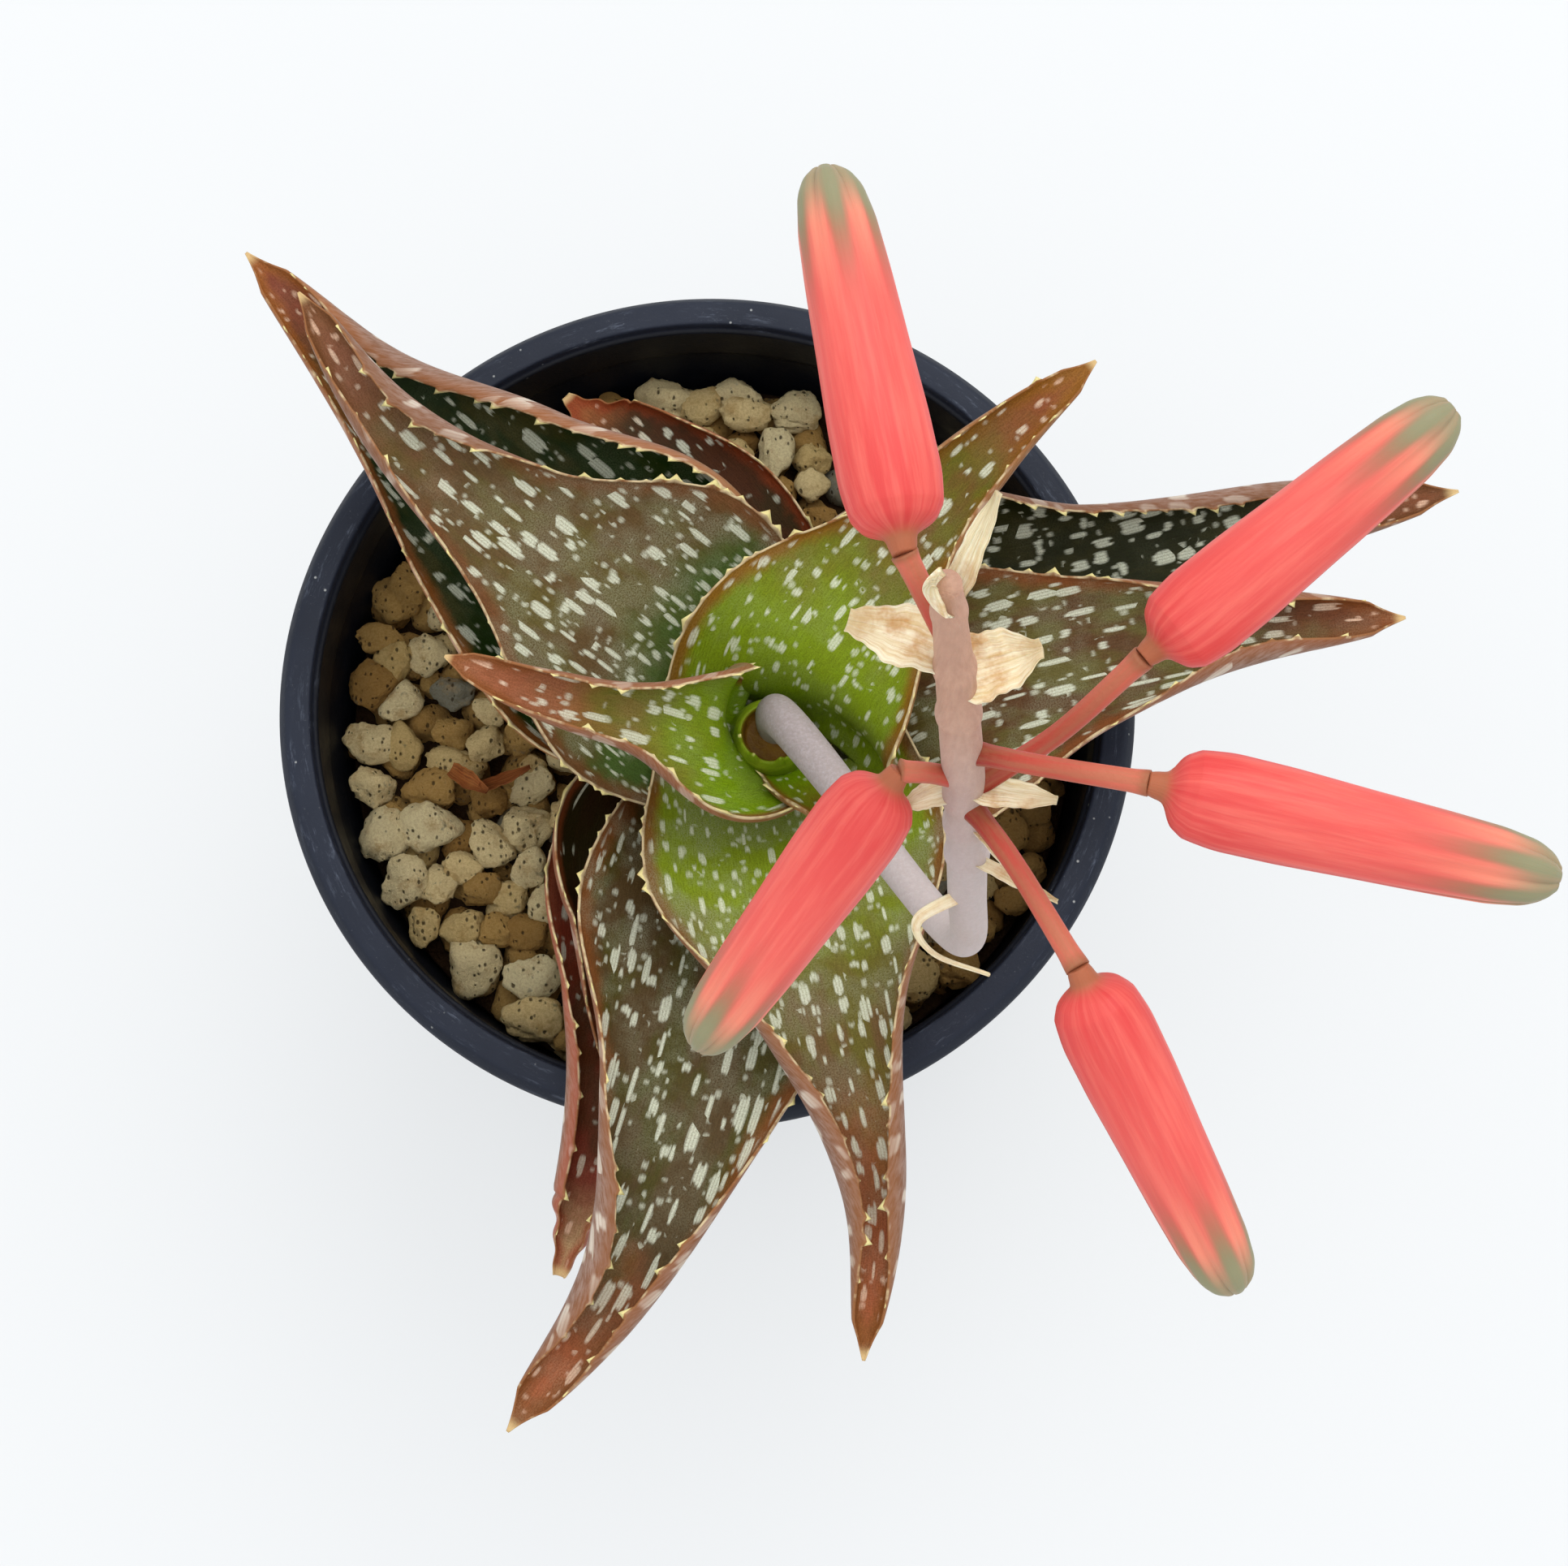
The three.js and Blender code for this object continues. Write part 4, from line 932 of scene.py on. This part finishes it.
def scatter_tree(name, shapes, material):
    """Geometry Nodes that put a grain shape on every point, by the point's own size and turn."""
    tree = bpy.data.node_groups.new(name, "GeometryNodeTree")
    tree.interface.new_socket("Places", in_out="INPUT", socket_type="NodeSocketGeometry")
    tree.interface.new_socket("Shapes", in_out="INPUT", socket_type="NodeSocketCollection")
    tree.interface.new_socket("Seed", in_out="INPUT", socket_type="NodeSocketInt").default_value = SEED
    tree.interface.new_socket("Grains", in_out="OUTPUT", socket_type="NodeSocketGeometry")
    new = tree.nodes.new
    link = tree.links.new
    given, made = new("NodeGroupInput"), new("NodeGroupOutput")
    to_points = new("GeometryNodeMeshToPoints")
    pick = new("GeometryNodeCollectionInfo")
    pick.inputs["Separate Children"].default_value = True
    pick.inputs["Reset Children"].default_value = True
    own = {}
    for key in ("size", "turn"):
        own[key] = new("GeometryNodeInputNamedAttribute")
        own[key].data_type = "FLOAT_VECTOR"
        own[key].inputs["Name"].default_value = key
    which = new("FunctionNodeRandomValue")
    which.data_type = "INT"
    bounds = {"Min": 0, "Max": len(shapes) - 1}
    for socket in which.inputs:
        if socket.type == "INT" and socket.name in bounds:
            socket.default_value = bounds[socket.name]
    put = new("GeometryNodeInstanceOnPoints")
    put.inputs["Pick Instance"].default_value = True
    realize = new("GeometryNodeRealizeInstances")
    finish = new("GeometryNodeSetMaterial")
    finish.inputs["Material"].default_value = material
    link(given.outputs["Places"], to_points.inputs["Mesh"])
    link(given.outputs["Shapes"], pick.inputs["Collection"])
    link(given.outputs["Seed"], which.inputs["Seed"])
    link(to_points.outputs[0], put.inputs["Points"])
    link(pick.outputs[0], put.inputs["Instance"])
    link([s for s in which.outputs if s.enabled][0], put.inputs["Instance Index"])
    link([s for s in own["turn"].outputs if s.enabled][0], put.inputs["Rotation"])
    link([s for s in own["size"].outputs if s.enabled][0], put.inputs["Scale"])
    link(put.outputs[0], realize.inputs[0])
    link(realize.outputs[0], finish.inputs["Geometry"])
    link(finish.outputs[0], made.inputs[0])
    return tree


def set_input(modifier, name, value):
    """Sets a node modifier's input by its socket's identifier."""
    for socket in modifier.node_group.interface.items_tree:
        if socket.item_type == "SOCKET" and socket.in_out == "INPUT" and socket.name == name:
            modifier[socket.identifier] = value


def grain_piece(name, rows, material, subdivisions, rng):
    """One piece of many grains, from rows of place, half sizes, turn and tone."""
    shapes = grain_shapes(material, subdivisions)
    stock = bpy.data.collections.new("grain_stock")
    for shape in shapes:
        for owner in list(shape.users_collection):
            owner.objects.unlink(shape)
        stock.objects.link(shape)
    rows = np.array(rows)
    mesh = bpy.data.meshes.new(name)
    mesh.from_pydata((rows[:, :3] * MM).tolist(), [], [])
    tones = np.column_stack([rows[:, 9], rng.uniform(0, 1, (len(rows), 2))])
    for key, values in (("size", rows[:, 3:6]), ("turn", rows[:, 6:9]), ("tone", tones)):
        layer = mesh.attributes.new(key, "FLOAT_VECTOR", "POINT")
        layer.data.foreach_set("vector", np.ascontiguousarray(values).ravel())
    grains = bpy.data.objects.new(name, mesh)
    bpy.context.collection.objects.link(grains)
    scatter = grains.modifiers.new("scatter", "NODES")
    scatter.node_group = scatter_tree(name + "_scatter", shapes, material)
    set_input(scatter, "Shapes", stock)
    bake_modifiers(grains)
    for shape in shapes:
        bpy.data.objects.remove(shape)
    bpy.data.collections.remove(stock)
    return place(grains, "grit")


def bed_piece():
    """The body of the substrate, painted dark as the shade between the grains, with an uneven top."""
    rng = np.random.default_rng(SEED + 3)
    top = SOIL_TOP - BED_DEPTH
    foot = FLOOR + 0.4
    profile = [
        (0, foot),
        (inner_wall_radius(FLOOR) - 1.7, foot),
        (inner_wall_radius(FLOOR + 1.5) - 0.4, foot + 1.1),
    ]
    profile += [(inner_wall_radius(h) - 0.4, h) for h in np.linspace(12, top - 0.6, 6)]
    profile += [(radius, top) for radius in np.linspace(inner_wall_radius(SOIL_TOP) - 1, 1.5, 30)]
    profile += [(0, top)]
    lumps = {radius: rng.uniform(-0.5, 0.4, 96) for radius, height in profile[1:-1] if height == top}
    lift = lambda radius, angles: lumps.get(radius, np.zeros(96))
    bed = lathe_piece("soil_bed", profile, 96, bed_finish(), lift=lift)
    return place(bed, "grit", "soil")


def substrate():
    rng = np.random.default_rng(SEED + 1)
    material = grain_finish()
    shown = shown_grains(rng)
    taken = [(row[0], row[1], (row[3] + row[4]) / 2) for row in shown]
    grain_piece("shown_grains", shown, material, 4, rng)
    filling = filling_grains(rng, SOIL_TOP + 0.5, 0.92, taken, (0.3, 0.25, 0.4, 0.05))
    grain_piece("filling_grains", filling, material, 4, rng)
    # The deeper layer is mostly brown grains: partly real brown clay, partly painted shade for the grains
    # lying lower down.
    deeper = filling_grains(rng, SOIL_TOP - 1.5, 0.8, [], (0, 0.1, 0.85, 0.05))
    grain_piece("deeper_grains", deeper, material, 3, rng)
    bed_piece()
    shred = dry_finish("dry_leaf_shred", (156, 92, 48), (110, 62, 32), (190, 132, 74))
    for number, row in enumerate(SHREDS, 1):
        place(dry_piece(f"leaf_shred_{number}", 40 + number, shred, **row), "grit")


# Rosette


def stem_piece():
    """The short trunk, ringed by old leaf scars."""
    heights = np.linspace(STEM_FOOT, STEM_TOP, 60)
    radii = np.interp(heights, [STEM_FOOT, 70, 76, STEM_TOP - 0.8, STEM_TOP], [5.5, 5.5, 4.5, 3.8, 2.6])
    radii -= 0.25 * np.abs(np.sin(heights * 1.7))
    profile = [(0, STEM_FOOT), *zip(radii, heights), (0, STEM_TOP)]
    return place(lathe_piece("stem_trunk", profile, 48, stem_finish(), ROSETTE), "trunk", "stem")


def heart_piece():
    """The young sheath that opens round the stalk's foot."""
    profile = [
        (0, 77), (4.4, 77), (4.6, 81), (4.3, 83.6), (3.7, 85.4), (3.2, 86.1),
        (2.95, 86.2), (2.75, 85.8), (2.6, 84.2), (0, 84.2),
    ]

    def lift(radius, angles):
        ripple = 0.4 * np.sin(2 * angles + 0.8) * (2.6 < radius < 4.5)
        teeth = sum(hump(angles, tooth, 0.13) for tooth in HEART_TEETH)
        return ripple + 1.3 * teeth * (2.9 < radius < 3.35)

    heart = lathe_piece("heart_sheath", rounded(profile, [0.3] * 8), 96, heart_finish(), HEART, lift)
    return place(heart, "leaf_flesh")


def tooth_rise(length, stations, rng):
    """How far the margin stands out at every station, with irregular hooked teeth along it."""
    reach = stations * length
    rise = np.zeros_like(reach)
    centre = 0.08 * length + rng.uniform(0, TOOTH_SPACING)
    while centre < 0.93 * length:
        nearest = reach[np.abs(reach - centre).argmin()]
        height = TOOTH_HEIGHT * rng.choice([0.3, 0.5, 0.85, 1.1]) * (1 - 0.35 * centre / length)
        width = TOOTH_HALF_WIDTH * (0.4 + 0.6 * height / TOOTH_HEIGHT)
        shape = np.clip(1 - np.abs(reach - nearest) / width, 0, 1) ** 1.2
        rise = np.maximum(rise, height * shape)
        centre += TOOTH_SPACING * rng.uniform(0.45, 1.5) * (0.45 + 0.8 * centre / length)
    return rise


def leaf_taper(name, t):
    """How a leaf's width and thickness give out towards its tip; the blunt ones are withered."""
    if name in BLUNT_LEAVES:
        return np.clip((1.06 - t) / 0.22, 0.2, 1) * (1 + 0.1 * np.sin(t * 110) * (t > 0.85))
    return np.clip((1.001 - t) / TIP_SHARE, 0, 1) ** 0.7


def blade_section(half_width, curl):
    """Across one half of a blade, from the midrib to its border: distances out and up, the slope
    there, and the share of the way to the border."""
    shares = np.linspace(0, 1, LEAF_HALF_STRIPS + 1) ** 0.85
    fine = np.linspace(0, 1, 101)
    slope = curl[:, None] * (CUP_EVENNESS * fine + (1 - CUP_EVENNESS) * fine ** 3)
    low = np.minimum((shares * 100).astype(int), 99)
    f = shares * 100 - low

    def added_up(values):
        steps = np.cumsum((values[:, 1:] + values[:, :-1]) / 200, 1)
        table = np.concatenate([np.zeros((len(curl), 1)), steps], 1)
        return (table[:, low] * (1 - f) + table[:, low + 1] * f) * half_width[:, None]

    slopes = slope[:, low] * (1 - f) + slope[:, low + 1] * f
    return added_up(np.cos(slope)), added_up(np.sin(slope)), slopes, shares


def rolled_section(half_width, curl, roll):
    """A blade's section carried on into the margin that rolls in: distances out, up and over the
    skin from the midrib, and the slope there."""
    out, up, slopes, shares = blade_section(half_width, curl)
    over = np.linspace(0, 1, ROLL_STRIPS + 1)[1:]
    turn = math.radians(ROLL_TURN) * np.minimum(roll / ROLL_FOR_FULL_TURN, 1)
    bend = (roll / np.maximum(turn, 0.02))[:, None]
    start = curl[:, None]
    rolled = start + turn[:, None] * over
    out = np.hstack([out, out[:, -1:] + bend * (np.sin(rolled) - np.sin(start))])
    up = np.hstack([up, up[:, -1:] + bend * (np.cos(start) - np.cos(rolled))])
    skin = np.hstack([half_width[:, None] * shares, half_width[:, None] + roll[:, None] * over])
    return out, up, skin, np.hstack([slopes, rolled])


def leaf_side(leaf, roll, side, t, frames, half_width, thickness, taper, teeth):
    """One half of a leaf: points over and under it, how far they lie over the skin from the midrib
    and from the margin, and the points of the margin itself."""
    centre, along, left, normal = frames
    curl = np.radians(smooth_run(leaf, t)[:, 0] + 3 * np.sin(t * 23 + side * 1.3 + half_width[0]))
    roll = np.maximum(smooth_run(roll, t)[:, 0], 0.1) * taper
    out, up, skin, slope = rolled_section(half_width, curl, roll)
    toward_margin = np.minimum(skin / half_width[:, None], 1)
    body = MARGIN_THICKNESS + (thickness[:, None] - MARGIN_THICKNESS) * (1 - toward_margin ** 2)
    lip = np.concatenate([np.zeros(LEAF_HALF_STRIPS + 1), np.linspace(0, 1, ROLL_STRIPS + 1)[1:]])
    depth = (body - (MARGIN_THICKNESS - LIP_THICKNESS) * lip) * (0.2 + 0.8 * taper[:, None])
    top = centre[:, None] + side * out[..., None] * left[:, None] + up[..., None] * normal[:, None]
    facing = -side * np.sin(slope)[..., None] * left[:, None] + np.cos(slope)[..., None] * normal[:, None]
    bottom = top - depth[..., None] * facing
    outward = side * np.cos(slope[:, -1:]) * left + np.sin(slope[:, -1:]) * normal
    rise = (teeth * taper)[:, None]
    edge = (top[:, -1] + bottom[:, -1]) / 2 + outward * (0.12 + rise) + along * rise * 0.45
    for column, pull in ((-1, 0.35), (-2, 0.1)):
        moved = outward * pull * rise + along * rise * pull * 0.4
        top[:, column] += moved
        bottom[:, column] += moved
    return top, bottom, side * skin, skin[:, -1:] - skin, edge, -0.12 - rise[:, 0]


def leaf_piece(name):
    """A fleshy blade with rolled, toothed margins, as rings of points from base to tip."""
    leaf, rolls = LEAVES[name], LEAF_ROLLS[name]
    rng = np.random.default_rng(SEED + 10 * int(name[-2:]))
    path = Path(leaf["spine"])
    t = np.linspace(0, 1, int(path.length / LEAF_STEP))
    along = path.along(t)
    normal = unit(np.array((0, 0, 1.0)) - along * along[:, 2:])
    frames = (path.at(t), along, np.cross(normal, along), normal)
    taper = leaf_taper(name, t)
    half_width = np.maximum(smooth_run(leaf["half"], t)[:, 0], 0.3) * taper
    thickness = LEAF_THICKNESS * (1 - 0.6 * t)
    halves = {}
    for side, key in ((-1, "right"), (1, "left")):
        teeth = tooth_rise(path.length, t, rng)
        halves[side] = leaf_side(leaf[key], rolls[key], side, t, frames, half_width, thickness, taper, teeth)
    last = LEAF_HALF_STRIPS + ROLL_STRIPS
    columns = []
    for side, k in [(-1, k) for k in range(last, 0, -1)] + [(1, k) for k in range(last + 1)]:
        top, _, skin, inland, _, _ = halves[side]
        columns.append((top[:, k], skin[:, k], inland[:, k], 0.0))
    columns.append((halves[1][4], halves[1][2][:, -1], halves[1][5], 0.5))
    for side, k in [(1, k) for k in range(last, -1, -1)] + [(-1, k) for k in range(1, last + 1)]:
        _, bottom, skin, inland, _, _ = halves[side]
        columns.append((bottom[:, k], skin[:, k], inland[:, k], 1.0))
    columns.append((halves[-1][4], halves[-1][2][:, -1], halves[-1][5], 0.5))
    points, across, inland = (np.stack([c[i] for c in columns], 1) for i in range(3))
    under = np.broadcast_to(np.array([c[3] for c in columns]), across.shape)
    reach = np.broadcast_to(t[:, None], across.shape)
    blade = np.stack([reach * path.length, across, inland], -1).reshape(-1, 3)
    station = np.stack([reach, np.sign(across), under], -1).reshape(-1, 3)
    faces = [face[::-1] for face in ring_faces(*across.shape)]
    material = leaf_finish(name, **LEAF_LOOKS[name])
    leaf_object = mesh_piece(name + "_blade", points.reshape(-1, 3), faces, material,
                             {"blade": blade, "station": station})
    return place(leaf_object, "leaf_flesh", name)


def rod_piece(name, path_points, radii, sides, steps, material, flatten=1.0, swell=None):
    """A rod along a smooth curve, with its run stored for the material."""
    path = Path(path_points)
    t = np.linspace(0, 1, steps)
    centre = path.at(t)
    side, up = steady_frames(centre)
    radius = smooth_run(radii, t)
    angles = np.arange(sides) / sides * 2 * math.pi
    if swell is not None:
        radius = radius * swell(t)[:, None]
    ring = (
        centre[:, None]
        + radius[:, None] * np.cos(angles)[None, :, None] * side[:, None]
        + flatten * radius[:, None] * np.sin(angles)[None, :, None] * up[:, None]
    )
    station = np.stack(np.broadcast_arrays(t[:, None], (angles / (2 * math.pi))[None], 0.0), -1)
    return mesh_piece(name, ring.reshape(-1, 3), ring_faces(steps, sides), material,
                      {"station": station.reshape(-1, 3)})


def hump(t, middle, width):
    return np.exp(-((t - middle) / width) ** 2)


# Flower stalk


def stalk_pieces():
    knots = lambda t: 1 + sum(0.14 * hump(t, knot, 0.008) for knot in STALK_KNOTS)
    stalk = rod_piece("stalk_stem", STALK_PATH, STALK_RADII, 40, 400, stalk_finish(), 0.92, knots)
    place(stalk, "stalk_flesh", "flower_stalk")
    material = pedicel_finish()
    flare = lambda t: 1 + 0.35 * hump(t, 0, 0.09) + 0.12 * hump(t, 1, 0.06)
    for number, bloom in enumerate(BLOOMS, 1):
        radii = [PEDICEL_RADIUS, PEDICEL_RADIUS * 0.92, PEDICEL_RADIUS]
        rod = rod_piece(f"pedicel_{number}", bloom["pedicel"], radii, 24, 80, material, swell=flare)
        place(rod, "stalk_flesh")
    dry = dry_finish("dry_papery_bract", (244, 236, 208), (222, 202, 156), (190, 134, 66))
    for number, row in enumerate(DRY_PIECES, 1):
        place(dry_piece(f"dry_bract_{number}", number, dry, **row), "stalk_flesh")
    radii = [DRY_THREAD_RADIUS * 1.2, DRY_THREAD_RADIUS * 0.9, DRY_THREAD_RADIUS * 0.6]
    thread = rod_piece("dry_thread", DRY_THREAD, radii, 12, 90, dry, 0.6)
    place(thread, "stalk_flesh")


def dry_piece(name, number, material, start, end, width, thickness):
    """A cupped, crumpled, papery scale that tapers at both ends."""
    rng = np.random.default_rng(SEED + 100 + number)
    start, end = np.array(start, float), np.array(end, float)
    way = unit(end - start)
    flat = unit(np.cross(way, (0, 0, 1.0)) if abs(way[2]) < 0.9 else np.cross(way, (1.0, 0, 0)))
    lift = np.cross(flat, way)
    t = np.linspace(0, 1, 60)
    s = np.linspace(-1, 1, 25)
    body = 0.25 + 0.75 * np.sin(np.pi * np.minimum(0.2 + 0.8 * t, 0.97))
    wave = sum(np.sin(t[:, None] * a + s[None] * b + c) * h for a, b, c, h in zip(
        rng.uniform(3, 9, 4), rng.uniform(1, 4, 4), rng.uniform(0, 6, 4), (0.3, 0.2, 0.12, 0.06)))
    ragged = 1 + 0.07 * np.sin(t * rng.uniform(9, 16) + rng.uniform(0, 6)) + 0.03 * np.sin(t * 37 + number)
    curl = thickness * (1.3 * s[None] ** 2 - 0.5) * body[:, None] + 0.7 * thickness * wave
    bow = 0.14 * np.linalg.norm(end - start) * np.sin(np.pi * t) * rng.uniform(-1, 1)
    sheet = (
        start + t[:, None, None] * (end - start)
        + (s[None] * width * (body * ragged)[:, None] * (1 + 0.1 * wave))[..., None] * flat
        + (curl + bow[:, None])[..., None] * lift
    )
    skin = 0.1 + 0.1 * (1 - np.abs(s))
    top, bottom = sheet + skin[None, :, None] * lift, sheet - skin[None, :, None] * lift
    rings = np.concatenate([top, bottom[:, ::-1]], 1)
    shares = np.concatenate([s, s[::-1]])
    station = np.stack(np.broadcast_arrays(t[:, None], shares[None], float(number)), -1)
    return mesh_piece(name, rings.reshape(-1, 3), ring_faces(len(t), rings.shape[1]), material,
                      {"station": station.reshape(-1, 3)})


# Flowers


def flower_piece(number, bloom, material):
    """A tube of six fused segments on a short neck, with the segments' tips just parting."""
    end = np.array(bloom["tip"], float)
    foot = np.array(bloom["pedicel"][-1], float)
    way = unit(end - foot)
    foot = foot + way * FLOWER_SEAT
    sideways = unit(np.cross(way, (0, 0, 1.0)))
    up = np.cross(sideways, way)
    profile = np.array(FLOWER_PROFILE)
    even = 1 - (1 - np.linspace(0, 1, FLOWER_RINGS)) ** 1.2
    t = np.concatenate([np.linspace(-0.055, 0.06, 24), even[even > 0.062]])
    radius = np.interp(t, profile[:, 0], profile[:, 1])
    radius = np.convolve(np.pad(radius, 2, mode="edge"), np.ones(5) / 5, mode="valid")
    turn = np.arange(FLOWER_SIDES) / FLOWER_SIDES
    angle = turn * 2 * math.pi
    lobes = 1 + 0.03 * np.cos(SEGMENTS / 2 * angle)[None] * (t > 0)[:, None]
    ridge = np.abs(np.sin(SEGMENTS / 2 * angle))[None] ** 0.45
    parting = (0.018 + 0.2 * np.clip((t - 0.55) / 0.45, 0, 1) ** 2) * (t > 0.02)
    wall = radius[:, None] * lobes * (1 - parting[:, None] * (1 - ridge))
    points = (
        foot + t[:, None, None] * (end - foot)
        + (wall * np.cos(angle))[..., None] * sideways
        + (wall * np.sin(angle))[..., None] * up
    )
    station = np.stack(np.broadcast_arrays(t[:, None], turn[None], float(number)), -1)
    faces = [face[::-1] for face in ring_faces(len(t), FLOWER_SIDES)]
    flower = mesh_piece(f"flower_{number}_tube", points.reshape(-1, 3), faces, material,
                        {"station": station.reshape(-1, 3)})
    return place(flower, "petal", f"flower_{number}")


# Stage


def camera_setup():
    look = Vector((0, math.sin(CAMERA_TILT), -math.cos(CAMERA_TILT)))
    level = Vector((1, 0, 0))
    upright = Vector((0, math.cos(CAMERA_TILT), math.sin(CAMERA_TILT)))
    right = math.cos(CAMERA_ROLL) * level + math.sin(CAMERA_ROLL) * upright
    up = -math.sin(CAMERA_ROLL) * level + math.cos(CAMERA_ROLL) * upright
    aside = (POT_RIM_IN_IMAGE[0] * right + POT_RIM_IN_IMAGE[1] * up) / FOCAL_PIXELS
    place_mm = Vector((0, 0, POT_HEIGHT)) - CAMERA_DISTANCE * (look + aside)
    lens = bpy.data.cameras.new("camera")
    lens.lens = FOCAL_PIXELS * SENSOR_WIDTH / IMAGE_WIDTH
    lens.sensor_width = SENSOR_WIDTH
    lens.sensor_fit = "HORIZONTAL"
    lens.clip_start = 0.01
    lens.clip_end = 20
    camera = bpy.data.objects.new("camera", lens)
    camera.matrix_world = Matrix.Translation(place_mm * MM) @ Matrix((right, up, -look)).transposed().to_4x4()
    bpy.context.collection.objects.link(camera)
    bpy.context.scene.camera = camera


def area_light(name, location, size, power, tint):
    data = bpy.data.lights.new(name, "AREA")
    data.shape = "DISK"
    data.size = size
    data.energy = power
    data.color = tint
    lamp = bpy.data.objects.new(name, data)
    lamp.location = location
    lamp.rotation_euler = (-Vector(location)).to_track_quat("-Z", "Y").to_euler()
    bpy.context.collection.objects.link(lamp)


def stage_setup():
    floor = mesh_piece("floor", [(-4000, -4000, 0), (4000, -4000, 0), (4000, 4000, 0), (-4000, 4000, 0)],
                       [(0, 1, 2, 3)], floor_finish())
    room_light()
    area_light("window_light", (0.35, 0.6, 1.0), 0.9, 4.5, (1, 0.99, 0.96))
    bpy.context.scene.view_settings.view_transform = "Standard"


def room_light():
    """A soft white room, a little brighter straight overhead."""
    world = bpy.data.worlds.new("soft_room")
    world.use_nodes = True
    nodes, link = world.node_tree.nodes, world.node_tree.links.new
    glow = nodes["Background"]
    glow.inputs["Color"].default_value = (0.96, 0.98, 1.0, 1)
    way = nodes.new("ShaderNodeTexCoord")
    split = nodes.new("ShaderNodeSeparateXYZ")
    fade = nodes.new("ShaderNodeMapRange")
    fade.interpolation_type = "SMOOTHSTEP"
    for key, value in (("From Min", 0.6), ("From Max", 0.97), ("To Min", 1.25), ("To Max", 1.8)):
        fade.inputs[key].default_value = value
    link(way.outputs["Generated"], split.inputs[0])
    link(split.outputs["Z"], fade.inputs["Value"])
    link(fade.outputs["Result"], glow.inputs["Strength"])
    bpy.context.scene.world = world


camera_setup()
stage_setup()
pot_piece()
substrate()
stem_piece()
heart_piece()
for leaf_name in LEAVES:
    leaf_piece(leaf_name)
stalk_pieces()
coral = flower_finish()
for bloom_number, one_bloom in enumerate(BLOOMS, 1):
    flower_piece(bloom_number, one_bloom, coral)
